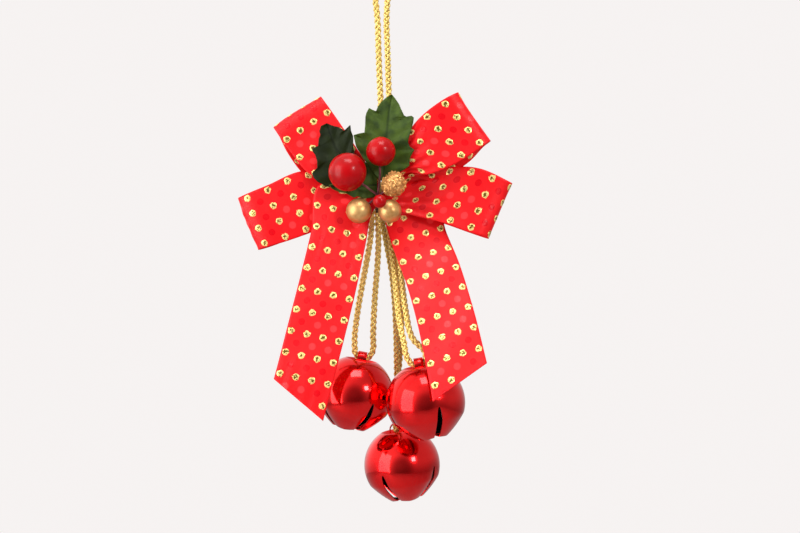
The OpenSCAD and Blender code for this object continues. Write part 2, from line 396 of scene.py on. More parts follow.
def flake_group() -> Tree:
    """Glitter flakes: cells with a random tone each, and a height that tilts every cell its own way."""
    group, given, result = start_group(
        "flakes", {"Vector": "Vector", "Scale": "Float"}, {"Tone": "Float", "Height": "Float"})
    vector, scale = given.outputs[:2]
    cells = put(group, "TexVoronoi", {"Vector": vector, "Scale": scale}, feature="F1").outputs["Color"]
    slope = vector_node(group, "SUBTRACT", cells, (0.5, 0.5, 0.5))
    tilt = vector_node(group, "DOT_PRODUCT", slope, scaled(group, vector, scale))
    group.links.new(put(group, "SeparateColor", {0: cells}).outputs[0], result.inputs[0])
    group.links.new(tilt, result.inputs[1])
    return group


def weave_group() -> Tree:
    """A fine satin weave: long floating threads one way, thin binding threads the other."""
    group, given, result = start_group(
        "satin_weave", {"Vector": "Vector", "Threads": "Float"}, {"Height": "Float", "Streak": "Float"})
    threads = scaled(group, given.outputs[0], given.outputs[1])
    x, y = put(group, "SeparateXYZ", {0: threads}).outputs[:2]
    across = math_node(group, "SINE", math_node(group, "MULTIPLY", x, 2 * math.pi))
    along = math_node(group, "SINE", math_node(group, "MULTIPLY", y, 0.7 * math.pi))
    stretched = vector_node(group, "MULTIPLY", threads, (0.9, 0.03, 1))
    streak = put(group, "TexNoise", {"Vector": stretched, "Scale": 1.0, "Detail": 2.0})
    group.links.new(math_node(group, "MULTIPLY_ADD", along, 0.25, across), result.inputs[0])
    group.links.new(streak.outputs[0], result.inputs[1])
    return group


def handling_group() -> Tree:
    """Faint marks of handling: a slow cloudy mask and a fine uneven height for pressed or dipped surfaces."""
    group, given, result = start_group(
        "handling", {"Vector": "Vector", "Scale": "Float"}, {"Mask": "Float", "Height": "Float"})
    vector, scale = given.outputs[:2]
    slow = put(group, "TexNoise", {"Vector": vector, "Scale": scale, "Detail": 3.0}).outputs[0]
    fine_scale = math_node(group, "MULTIPLY", scale, 0.6)
    fine = put(group, "TexNoise", {"Vector": vector, "Scale": fine_scale, "Detail": 1.0}).outputs[0]
    group.links.new(remap(group, slow, 0.42, 0.68), result.inputs[0])
    group.links.new(fine, result.inputs[1])
    return group


class Effects:
    """The shared node groups, each built once."""

    def __init__(self) -> None:
        """Builds every group."""
        self.flakes = flake_group()
        self.weave = weave_group()
        self.handling = handling_group()

    @staticmethod
    def place(tree: Tree, group: Tree, amount: float, vector: Socket | None = None) -> tuple[Socket, Socket]:
        """Places a group in a material.

        Args:
            tree: The material's tree.
            group: The group.
            amount: Its one number.
            vector: Its vector, or None for the object's own coordinates.

        Returns:
            Its two results.
        """
        made = tree.nodes.new("ShaderNodeGroup")
        made.node_tree = group
        tree.links.new(vector or put(tree, "TexCoord").outputs["Object"], made.inputs[0])
        made.inputs[1].default_value = amount
        return made.outputs[0], made.outputs[1]


def start_material(name: str, **values: object) -> tuple[Material, Tree, Node]:
    """Starts a material.

    Args:
        name: Name of the material.
        values: Constant values of the Principled BSDF, with underscores for spaces.

    Returns:
        The material, its tree and its shader.
    """
    material = bpy.data.materials.new(name)
    material.use_nodes = True
    shader = material.node_tree.nodes["Principled BSDF"]
    for label, value in values.items():
        shader.inputs[label.replace("_", " ")].default_value = value
    return material, material.node_tree, shader


def feed(tree: Tree, shader: Node, **sockets: Socket) -> None:
    """Links sockets to a shader's inputs, with underscores for spaces."""
    for label, socket in sockets.items():
        tree.links.new(socket, shader.inputs[label.replace("_", " ")])


def bump(tree: Tree, height: Socket, strength: float, distance: float) -> Socket:
    """Adds a Bump node, its distance in millimetres, and returns its normal."""
    return put(tree, "Bump", {"Height": height, "Strength": strength, "Distance": distance * MM}).outputs[0]


# ---------------------------------------------------------------- finishes


@dataclass(frozen=True)
class RibbonSatin:
    """Red satin ribbon with a weave and rows of tonal dots between the gold ones. Sizes in millimetres."""

    red: Colour = (0.86, 0.003, 0.006)
    deep: Colour = (0.62, 0.000, 0.006)
    pale: Colour = (1.0, 0.040, 0.045)
    sheen: Colour = (1.0, 0.35, 0.3)
    across_pitch: float = 8.4
    along_pitch: float = 11.35
    dot_radius: float = 1.8
    dot_blur: float = 0.12
    deep_share: float = 0.55
    dot_tone: float = 0.85
    streak_tone: float = 0.28
    threads: float = 6.0

    def build(self, effects: Effects) -> Material:
        """Builds the material. UV counts dot pitches across and along."""
        material, tree, shader = start_material(
            "red_satin", Sheen_Weight=0.03, Sheen_Roughness=0.4, Sheen_Tint=(*self.sheen, 1),
            Specular_IOR_Level=0.25)
        uv = put(tree, "UVMap").outputs[0]
        from_dot = vector_node(tree, "SUBTRACT", vector_node(tree, "FRACTION", uv), (0.5, 0.5, 0))
        from_dot = vector_node(tree, "MULTIPLY", from_dot, (self.across_pitch, self.along_pitch, 0))
        mask = remap(tree, vector_node(tree, "LENGTH", from_dot),
                     self.dot_radius + self.dot_blur, self.dot_radius - self.dot_blur)
        which = vector_node(tree, "FLOOR", uv)
        chance = put(tree, "TexWhiteNoise", {"Vector": which}, noise_dimensions="3D").outputs[0]
        is_pale = math_node(tree, "GREATER_THAN", chance, self.deep_share)
        tone = mix_colour(tree, is_pale, self.deep, self.pale)
        cloth = vector_node(tree, "MULTIPLY", uv, (self.across_pitch, self.along_pitch, 1))
        height, streak = effects.place(tree, effects.weave, self.threads, cloth)
        ground = mix_colour(tree, math_node(tree, "MULTIPLY", streak, self.streak_tone), self.red, self.deep)
        feed(tree, shader,
             Base_Color=mix_colour(tree, math_node(tree, "MULTIPLY", mask, self.dot_tone), ground, tone),
             Roughness=mix_value(tree, mask, 0.42, 0.26),
             Normal=bump(tree, height, 0.25, 0.03))
        return material


@dataclass(frozen=True)
class DotGold:
    """Raised glitter dots: a bright rim with dark specks towards the middle. Sizes in millimetres."""

    bright: Colour = (0.97, 0.74, 0.26)
    dark: Colour = (0.20, 0.12, 0.012)
    flake: float = 0.62

    def build(self, effects: Effects) -> Material:
        """Builds the material. UV runs from the middle of a dot to its rim."""
        material, tree, shader = start_material("gold_dots", Metallic=0.55)
        tone, height = effects.place(tree, effects.flakes, 1 / (self.flake * MM))
        out = put(tree, "SeparateXYZ", {0: put(tree, "UVMap").outputs[0]}).outputs[0]
        speck = math_node(tree, "LESS_THAN", tone, remap(tree, out, 0.18, 0.72, 0.85, 0.06))
        feed(tree, shader,
             Base_Color=mix_colour(tree, speck, self.bright, self.dark),
             Roughness=mix_value(tree, tone, 0.22, 0.5),
             Normal=bump(tree, height, 0.5, 0.06))
        return material


@dataclass(frozen=True)
class GoldBraid:
    """Metallic braid yarn, twisted from fine filaments, with painted shade in the grooves between them and a
    painted highlight on their crowns. Sizes in millimetres.
    """

    # bright is the crowns' colour and carries a painted highlight; dark is the painted shade in the grooves.
    bright: Colour = (1.0, 0.84, 0.29)
    dark: Colour = (0.60, 0.32, 0.035)
    filaments: float = 5.0
    flake: float = 0.45
    flake_share: float = 0.35

    def build(self, effects: Effects) -> Material:
        """Builds the material. UV runs along a yarn in turns of its filaments and once round it."""
        material, tree, shader = start_material("gold_braid", Metallic=0.36)
        along, round_it = put(tree, "SeparateXYZ", {0: put(tree, "UVMap").outputs[0]}).outputs[:2]
        turn = math_node(tree, "MULTIPLY_ADD", round_it, self.filaments, along)
        wave = math_node(tree, "SINE", math_node(tree, "MULTIPLY", turn, 2 * math.pi))
        lift = math_node(tree, "MULTIPLY_ADD", wave, 0.5, 0.5)
        flake, _ = effects.place(tree, effects.flakes, 1 / (self.flake * MM))
        # Painted shade and painted highlight: the filaments' height darkens the colour in the grooves and
        # brightens it on the crowns. The flakes add random tones.
        tone = mix_value(tree, self.flake_share, lift, flake)
        feed(tree, shader,
             Base_Color=mix_colour(tree, tone, self.dark, self.bright),
             Roughness=mix_value(tree, flake, 0.22, 0.48),
             Normal=bump(tree, lift, 0.6, 0.08))
        return material


@dataclass(frozen=True)
class MarkedCoat:
    """A smooth surface with faint handling marks: lacquer, bare metal or a glossy dip.

    Args:
        name: Name of the material.
        colour: Its colour.
        worn: Its colour where it has been handled.
        roughness: Its roughness, clean and handled.
        scale: Scale of the marks.
        bumps: Strength of its unevenness, and its depth in millimetres.
        settings: Constant values of the shader.
    """

    name: str
    colour: Colour
    worn: Colour
    roughness: Pair
    scale: float = 300.0
    bumps: Pair = (0.15, 0.3)
    settings: dict[str, float] = field(default_factory=lambda: {"Metallic": 1.0})

    def build(self, effects: Effects) -> Material:
        """Builds the material."""
        material, tree, shader = start_material(self.name, **self.settings)
        mask, height = effects.place(tree, effects.handling, self.scale)
        feed(tree, shader,
             Base_Color=mix_colour(tree, mask, self.colour, self.worn),
             Roughness=mix_value(tree, mask, *self.roughness),
             Normal=bump(tree, height, *self.bumps))
        return material


@dataclass(frozen=True)
class GoldSatin:
    """Satin gold paint on small balls, slightly grainy, with painted shade darkening it where it turns away
    from the camera.
    """

    gold: Colour = (0.72, 0.43, 0.16)
    shade: Colour = (0.52, 0.26, 0.08)
    # Colour of the painted shade at the rim.
    edge: Colour = (0.24, 0.10, 0.03)
    rim_shade_tone: float = 0.8
    grain: float = 5200.0

    def build(self, effects: Effects) -> Material:
        """Builds the material."""
        material, tree, shader = start_material("gold_satin", Metallic=0.6)
        mask, _ = effects.place(tree, effects.handling, 260.0)
        place = put(tree, "TexCoord").outputs["Object"]
        grain = put(tree, "TexNoise", {"Vector": place, "Scale": self.grain, "Detail": 1.0}).outputs[0]
        painted = mix_colour(tree, mask, self.gold, self.shade)
        # Painted shade: the colour darkens towards the rim colour where the surface turns away from the
        # camera.
        facing = put(tree, "LayerWeight", {"Blend": 0.35}).outputs["Facing"]
        rim = math_node(tree, "MULTIPLY", facing, self.rim_shade_tone)
        feed(tree, shader,
             Base_Color=mix_colour(tree, rim, painted, self.edge),
             Roughness=mix_value(tree, grain, 0.3, 0.5),
             Normal=bump(tree, grain, 0.12, 0.05))
        return material


@dataclass(frozen=True)
class CopperGlitter:
    """Coarse copper-gold glitter glued all over a lump. Sizes in millimetres."""

    bright: Colour = (0.92, 0.52, 0.18)
    deep: Colour = (0.42, 0.17, 0.045)
    flake: float = 1.1

    def build(self, effects: Effects) -> Material:
        """Builds the material."""
        material, tree, shader = start_material("copper_glitter", Metallic=0.6)
        tone, height = effects.place(tree, effects.flakes, 1 / (self.flake * MM))
        feed(tree, shader,
             Base_Color=mix_colour(tree, tone, self.deep, self.bright),
             Roughness=mix_value(tree, tone, 0.55, 0.25),
             Normal=bump(tree, height, 0.8, 0.15))
        return material


@dataclass(frozen=True)
class LeafCloth:
    """Printed leaf cloth with a woven ground and painted shade darkening the midrib crease. Sizes in
    millimetres.
    """

    name: str
    green: Colour
    pale: Colour
    deep: Colour
    thread: float = 0.28
    thread_tone: float = 0.35
    crease_shade_tone: float = 0.6

    def build(self, effects: Effects) -> Material:
        """Builds the material. UV runs across from -1 to 1 and along from 0 to 1."""
        material, tree, shader = start_material(self.name, Specular_IOR_Level=0.14)
        across = put(tree, "SeparateXYZ", {0: put(tree, "UVMap").outputs[0]}).outputs[0]
        # Painted shade: the colour darkens to the deep tone along the midrib crease.
        rib = remap(tree, math_node(tree, "ABSOLUTE", across), 0.10, 0.02)
        mask, _ = effects.place(tree, effects.handling, 180.0)
        height, streak = effects.place(tree, effects.weave, 1 / (self.thread * MM))
        tinted = mix_colour(tree, math_node(tree, "MULTIPLY", streak, self.thread_tone),
                            mix_colour(tree, mask, self.green, self.deep), self.pale)
        feed(tree, shader,
             Base_Color=mix_colour(tree, math_node(tree, "MULTIPLY", rib, self.crease_shade_tone), tinted, self.deep),
             Roughness=mix_value(tree, mask, 0.42, 0.6),
             Normal=bump(tree, height, 0.3, 0.05))
        return material


@dataclass(frozen=True)
class WrappedPaper:
    """Crepe paper or tape wound round a wire."""

    name: str
    colour: Colour
    deep: Colour

    def build(self, effects: Effects) -> Material:
        """Builds the material."""
        material, tree, shader = start_material(self.name, Roughness=0.62)
        place = put(tree, "TexCoord").outputs["Object"]
        wound = put(tree, "TexWave", {"Vector": place, "Scale": 260.0, "Distortion": 1.5},
                    bands_direction="DIAGONAL").outputs[1]
        mask, _ = effects.place(tree, effects.handling, 500.0)
        feed(tree, shader,
             Base_Color=mix_colour(tree, mix_value(tree, 0.5, wound, mask), self.colour, self.deep),
             Normal=bump(tree, wound, 0.5, 0.15))
        return material


# ---------------------------------------------------------------- cords


class Side(Enum):
    """Which of the three bells a piece belongs to."""

    LEFT = "left"
    RIGHT = "right"
    LOWER = "lower"


class Way(Enum):
    """Which way a yarn winds round its cord."""

    RIGHT_HANDED = 1
    LEFT_HANDED = -1


@dataclass
class BraidedCord:
    """A limp braid of six metallic yarns, three each way, on one smooth route. Sizes are in millimetres.

    Args:
        name: Name of the piece, which is also its CAD node's name with "braid_" before it.
        body: The CAD body that it rides on.
        route: The points that the cord follows.
    """

    name: str
    body: str
    route: list[Point]
    diameter: float = 3.0
    pitch: float = 9.6
    carriers: int = 3
    carrier_radius: float = 1.12
    weave_depth: float = 0.32
    yarn_width: float = 0.70
    yarn_depth: float = 0.36
    step: float = 0.46
    sides: int = 6
    twist_pitch: float = 1.7

    def build(self, gold: Material) -> None:
        line = smooth_line(self.route, self.step)
        side, other = carried_frames(line)
        along = np.arange(len(line)) * self.step
        points, faces, uvs = [], [], []
        for way in Way:
            for carrier in range(self.carriers):
                angle = (way.value * along / self.pitch + carrier / self.carriers) * 2 * math.pi
                out = np.cos(angle)[:, None] * side + np.sin(angle)[:, None] * other
                radius = self.carrier_radius + way.value * self.weave_depth * np.cos(3 * angle)
                middle = line + radius[:, None] * out
                self.add_yarn(middle, out, along, points, faces, uvs)
        made = make_object("braid_" + self.name, np.concatenate(points) * MM, faces, np.concatenate(uvs))
        dress(made, self.body, "gold_braid", self.name, gold)

    def add_yarn(self, middle: np.ndarray, out: np.ndarray, along: np.ndarray,
                 points: list, faces: list, uvs: list) -> None:
        """Adds one flat yarn along its own middle line, its broad side facing out of the cord."""
        run = np.gradient(middle, axis=0)
        run /= np.linalg.norm(run, axis=1, keepdims=True)
        across = np.cross(run, out)
        across /= np.linalg.norm(across, axis=1, keepdims=True)
        lift = np.cross(across, run)
        base = sum(len(p) for p in points)
        corner = np.arange(self.sides)
        turn = corner * 2 * math.pi / self.sides
        ring = (middle[:, None] + self.yarn_width * np.cos(turn)[None, :, None] * across[:, None]
                + self.yarn_depth * np.sin(turn)[None, :, None] * lift[:, None])
        points.append(ring.reshape(-1, 3))
        uvs.append(np.stack([np.repeat(along / self.twist_pitch, self.sides),
                             np.tile(corner / self.sides, len(middle))], axis=1))
        start = base + np.arange(len(middle) - 1)[:, None] * self.sides
        first, after = start + corner[None], start + (corner[None] + 1) % self.sides
        quads = np.stack([first, after, after + self.sides, first + self.sides], axis=-1)
        faces.extend(quads.reshape(-1, 4).tolist())
        faces.append((base + corner)[::-1].tolist())
        faces.append((base + (len(middle) - 1) * self.sides + corner).tolist())


@dataclass
class Cords:
    """The hanging loop and the three doubled cords that carry the bells, as routes in millimetres."""

    hanger: list[Point] = field(default_factory=lambda: [
        (-2.8, 5.5, -126.5), (-2.2, 5.5, -112), (-1, 4.5, -97), (-0.3, 3.5, -82), (-0.9, 2.5, -66),
        (-1.4, 1.5, -52), (-1.9, 1, -37), (-3.2, 0.5, -25), (-5.6, 0, -14), (-6.5, 0, -5), (-4.6, 0, -0.4),
        (0, 0, 1.5), (4.6, 0, -0.4), (6.5, 0, -5), (5.6, 0, -14), (3.6, 0.5, -25), (2.9, 1, -37),
        (3.4, 1.5, -52), (3.8, 2.5, -66), (4.3, 3.5, -82), (4.2, 4.5, -97), (3.6, 5.5, -112),
        (2.9, 5.5, -126.5)])
    left: list[Point] = field(default_factory=lambda: [
        (-6, 5.5, -129.5), (-5, 5, -141), (-5.8, 4.5, -153), (-8.1, 3.5, -167), (-10.9, 3, -182),
        (-13.1, 2, -196), (-14.2, 1.5, -207), (-14.1, 1.5, -211.6), (-13.9, 1.5, -214.1),
        (-12.5, 1.5, -216.1), (-10.3, 1.5, -217.2), (-7.8, 1.5, -217.1), (-5.7, 1.5, -215.7),
        (-4.6, 1.5, -213.4), (-4.3, 1.6, -205), (-4, 2, -196), (-3.2, 3, -182), (-2, 3.5, -167),
        (-1.5, 4.5, -153), (-2.1, 5.3, -139), (-2.8, 5.5, -129.5)])
    right: list[Point] = field(default_factory=lambda: [
        (2.8, 5.5, -129.5), (3.6, 5.8, -142), (5.2, 3.6, -156), (6.9, -2, -170), (8.2, -7.5, -184),
        (10, -14, -198), (12, -17.4, -207), (13.8, -19, -215.2), (15.3, -19, -217.7),
        (17.5, -19, -219), (19.9, -19, -219), (22.1, -19, -217.8), (23.4, -19, -215.7),
        (23.3, -19, -213.2), (21.9, -18.9, -210.4), (19.2, -18.7, -208.2), (16.7, -18, -205.4),
        (14.9, -16.6, -201), (13.7, -13.6, -195), (12.7, -10.4, -189), (12, -7.5, -184),
        (10.4, -2, -170), (8.7, 3.6, -156), (7, 5.8, -142), (6, 5.5, -129.5)])
    lower: list[Point] = field(default_factory=lambda: [
        (-2.6, 10, -129.5), (0.2, 10, -143), (3, 10, -157), (5.5, 9.8, -171), (7, 9.2, -185),
        (7.8, 8.6, -199), (8.2, 8.3, -213), (8.4, 8.2, -225), (8.5, 7.6, -237), (8.1, 6.1, -245),
        (7.8, 4.9, -251.6), (7.9, 5.5, -254.1), (8.1, 7.3, -256), (8.2, 10, -256.6),
        (8.1, 12.7, -256), (7.9, 14.5, -254.1), (7.8, 15.1, -251.6), (8.2, 13.8, -245),
        (8.7, 12.4, -237), (9.4, 11.8, -225), (10.3, 11.6, -213), (10.9, 11.4, -199),
        (10.4, 11, -185), (9.1, 10.4, -171), (6.6, 10, -157), (4.3, 10, -143), (2.6, 10, -129.5)])

    def build(self, gold: Material) -> None:
        """Builds the four cords."""
        BraidedCord("hanger_cord", "root", self.hanger).build(gold)
        for side, route in zip(Side, (self.left, self.right, self.lower)):
            BraidedCord(f"{side.value}_bell_cord", f"{side.value}_cord", route).build(gold)


# ---------------------------------------------------------------- ribbons


@dataclass
class Strip:
    """A length of satin ribbon between two edge lines, pleated where they draw together. In millimetres.

    Args:
        name: The CAD node that it stands for.
        edges: For each station, its place on one edge and its place on the other.
        origin: The station from which distances along the ribbon are counted.
        skew: How far a row of dots runs ahead, for each unit across.
        cut: How far short of the full length each edge is cut.
        dot_start: Distance of a row of dots from the origin.
        crown: How far the middle of the ribbon stands out of its edges.
        pleats: Number of pleats across the neck.
        neck_lift: Share of the full pleat depth that is used.
        phase: Where the pleats and the waves start, which differs between strips.
    """

    name: str
    edges: Edges
    origin: int
    skew: float = 0.0
    cut: Pair = (0.0, 0.0)
    dot_start: float = 0.0
    crown: float = 0.6
    pleats: float = 4.0
    neck_lift: float = 0.7
    phase: float = 0.0
    width: float = 30.0
    thickness: float = 0.24
    across_pitch: float = 8.4
    along_pitch: float = 11.6
    dot_radius: float = 1.92
    margin: float = 2.4
    columns: int = 30
    step: float = 1.1
    wander: float = 0.035
    wander_run: float = 11.0
    sway: float = 0.22
    sway_run: float = 41.0
    sway_start: float = 30.0
    dot_rings: tuple[float, ...] = (0.45, 0.8, 1.0)
    dot_heights: tuple[float, ...] = (0.10, 0.13, 0.11, -0.06)
    dot_ragged: Pair = (0.09, 0.07)
    dot_turns: int = 12
    dot_columns: int = 4

    def __post_init__(self) -> None:
        """Runs smooth lines through both edges and measures them from the origin."""
        pairs = np.array([[*a, *b] for a, b in self.edges], float)
        self.fine = catmull_rom(pairs, SAMPLES)
        self.tangents = np.gradient(self.fine, axis=0)
        self.chord = np.linalg.norm(self.fine[:, :3] - self.fine[:, 3:], axis=1)
        steps = np.linalg.norm(np.diff(self.fine.reshape(-1, 2, 3), axis=0), axis=2)
        self.runs = np.vstack([np.zeros(2), np.cumsum(steps, axis=0)])
        self.runs -= self.runs[self.origin * SAMPLES]
        self.middle = self.runs.mean(axis=1)
        self.length = float(self.middle[-1] - self.middle[0])

    def sample(self, u: np.ndarray, s: np.ndarray) -> np.ndarray:
        """Finds the fine sample at a distance s from the origin along the line at share u of the width."""
        found = np.zeros(s.shape)
        for share in np.unique(u):
            line = self.runs @ (1 - share, share) + self.skew * (share - 0.5) * self.width
            here = u == share
            found[here] = np.interp(s[here], line, np.arange(len(line)))
        return found

    def distance(self, u: np.ndarray, k: np.ndarray) -> np.ndarray:
        """Gives the distance from the origin of fine samples k."""
        both = self.look_up(k, self.runs)
        return both[..., 0] * (1 - u) + both[..., 1] * u + self.skew * (u - 0.5) * self.width

    @staticmethod
    def look_up(k: np.ndarray, table: np.ndarray) -> np.ndarray:
        """Looks the rows of a table up at fractional places."""
        rows = np.arange(len(table))
        return np.stack([np.interp(k, rows, table[:, c]) for c in range(table.shape[1])], axis=-1)

    def surface(self, u: np.ndarray, k: np.ndarray, lift: float = 0.0) -> np.ndarray:
        """Gives places on the ribbon.

        Args:
            u: Share of the width, from 0 to 1.
            k: Fine sample along.
            lift: Distance above the surface.

        Returns:
            The places, one for each pair of u and k.
        """
        both, slope = self.look_up(k, self.fine), self.look_up(k, self.tangents)
        share = u[..., None]
        flat = both[..., :3] * (1 - share) + both[..., 3:] * share
        run = slope[..., :3] * (1 - share) + slope[..., 3:] * share
        normal = np.cross(run, both[..., 3:] - both[..., :3])
        normal /= np.linalg.norm(normal, axis=-1, keepdims=True)
        rows = np.arange(len(self.middle))
        chord = np.minimum(np.interp(k, rows, self.chord), self.width)
        from_neck = np.interp(k, rows, self.middle) - self.middle[0]
        spare = np.sqrt(np.maximum(chord * (self.width - chord), 0)) / (math.pi * self.pleats)
        wander = u + self.wander * np.sin(3 * math.pi * u + from_neck / self.wander_run + self.phase)
        fold = np.sin(2 * math.pi * self.pleats * wander + self.phase)
        sway = self.sway * np.sin(2 * math.pi * (0.8 * u + from_neck / self.sway_run) + self.phase)
        sway *= np.minimum(from_neck / self.sway_start, 1)
        height = self.neck_lift * spare * fold + self.crown * 4 * u * (1 - u) * chord / self.width + sway
        return flat + normal * (height + lift)[..., None]

    def build(self, satin: Material, gold: Material) -> None:
        """Builds the ribbon and its dots."""
        ribbon = self.build_ribbon()
        dress(ribbon, "root", "red_satin", self.name, satin)
        dots = self.build_dots()
        dress(dots, "root", "gold_braid", "", gold)

    def end_at(self, u: np.ndarray) -> np.ndarray:
        """Gives the distance from the origin at which the ribbon is cut, for shares of its width."""
        line = self.runs[-1, 0] * (1 - u) + self.runs[-1, 1] * u + self.skew * (u - 0.5) * self.width
        return line - (self.cut[0] * (1 - u) + self.cut[1] * u)

    def build_ribbon(self) -> Object:
        """Builds the ribbon's cloth with its thickness."""
        rows = int(self.length / self.step) + 2
        u, t = np.meshgrid(np.linspace(0, 1, self.columns + 1), np.linspace(0, 1, rows))
        start = self.distance(u, np.zeros_like(u))
        s = start + t * (self.end_at(u) - start)
        uv = np.stack([(u * self.width - self.margin) / self.across_pitch,
                       (s - self.dot_start) / self.along_pitch], axis=-1)
        return make_cloth(self.name + "_ribbon", self.surface(u, self.sample(u, s)), uv, self.thickness)

    def build_dots(self) -> Object:
        """Builds the raised gold dots of both faces."""
        points, faces, uvs = [], [], []
        first = math.ceil((self.middle[0] - self.dot_start) / self.along_pitch) - 1
        for row in range(first, first + int(self.length / self.along_pitch) + 3):
            for column in range(self.dot_columns):
                centre = (self.margin + column * self.across_pitch, self.dot_start + row * self.along_pitch)
                for face in (1, -1):
                    self.add_dot(centre, face, points, faces, uvs)
        return make_object(self.name + "_dots", np.concatenate(points) * MM, faces, np.concatenate(uvs))

    def add_dot(self, centre: Pair, face: int, points: list, faces: list, uvs: list) -> None:
        """Adds one low, domed dot on one face of the ribbon, unless it runs past the cut."""
        u0 = np.array([centre[0] / self.width])
        start = float(self.distance(u0, np.zeros(1))[0])
        if not start + self.dot_radius < centre[1] < float(self.end_at(u0)[0]) - self.dot_radius:
            return
        turns, rings = self.dot_turns, len(self.dot_rings)
        angles = np.concatenate([[0.0], np.tile(np.arange(turns) * 2 * math.pi / turns, rings)])
        five, three = self.dot_ragged
        ragged = 1 + five * np.sin(5 * angles + centre[0]) + three * np.sin(3 * angles + centre[1] * 2.3)
        radii = np.concatenate([[0.0], np.repeat(self.dot_rings, turns)]) * self.dot_radius * ragged
        lift = np.repeat(self.dot_heights, [1] + [turns] * rings) + self.thickness / 2
        u = (centre[0] + radii * np.cos(angles)) / self.width
        k = self.sample(u, centre[1] + radii * np.sin(angles))
        spot = self.surface(u, k) + (self.surface(u, k, 1.0) - self.surface(u, k)) * face * lift[:, None]
        base = sum(len(p) for p in points)
        points.append(spot)
        uvs.append(np.stack([radii / self.dot_radius, angles / (2 * math.pi)], axis=1))
        for k in range(turns):
            after = (k + 1) % turns
            made = [[base, base + 1 + k, base + 1 + after]]
            for low in range(base + 1, base + 1 + (rings - 1) * turns, turns):
                high = low + turns
                made.append([low + k, high + k, high + after, low + after])
            faces.extend(made if face > 0 else [corners[::-1] for corners in made])


@dataclass(frozen=True)
class LoopShape:
    """One loop of the bow, seen from the front and given its depth.

    Args:
        name: The CAD node that it stands for.
        upper: Places (x, z) on the upper edge of the front layer, from the neck to the fold.
        lower: Places (x, z) on the lower edge.
        front: Depth y of the front layer at each station, the fold last.
        back: Depth y of the back layer at each station but the fold, from the fold to the neck.
        shift: How far (x, z) the back layer is moved in its middle.
        fold_radius: Radius of the rounded fold.
        dot_start: Distance of a row of dots from the middle of the fold.
        skew: How far a row of dots runs ahead, for each unit across.
    """

    name: str
    upper: list[Pair]
    lower: list[Pair]
    front: list[float]
    back: list[float]
    shift: Pair = (0.0, 0.0)
    fold_radius: float = 3.4
    dot_start: float = 0.0
    skew: float = 0.0

    def edges(self) -> Edges:
        """Gives the stations of both edges, out along the front, round the fold and back."""
        last = len(self.upper) - 1
        pairs = [self.station(i, self.front[i], 0.0) for i in range(last)]
        pairs += [self.fold_station(math.radians(angle)) for angle in (-80, -45, 0, 45, 80)]
        for k, depth in enumerate(self.back):
            i = last - 1 - k
            pairs.append(self.station(i, depth, math.sin(math.pi * (i + 0.6) / (last + 1)) if i else 0.0))
        return pairs

    def station(self, i: int, depth: float, moved: float) -> tuple[Point, Point]:
        """Gives one station of a layer, moved by a share of the shift."""
        (ax, az), (bx, bz) = self.upper[i], self.lower[i]
        dx, dz = self.shift[0] * moved, self.shift[1] * moved
        return (ax + dx, depth, az + dz), (bx + dx, depth, bz + dz)

    def fold_station(self, angle: float) -> tuple[Point, Point]:
        """Gives one station of the rounded fold."""
        ends = []
        for edge in (self.upper, self.lower):
            tip, before = np.array(edge[-1]), np.array(edge[-2])
            inward = (before - tip) / np.linalg.norm(before - tip)
            x, z = tip + inward * self.fold_radius * (1 - math.cos(angle))
            ends.append((float(x), self.front[-1] + self.fold_radius * math.sin(angle), float(z)))
        return ends[0], ends[1]


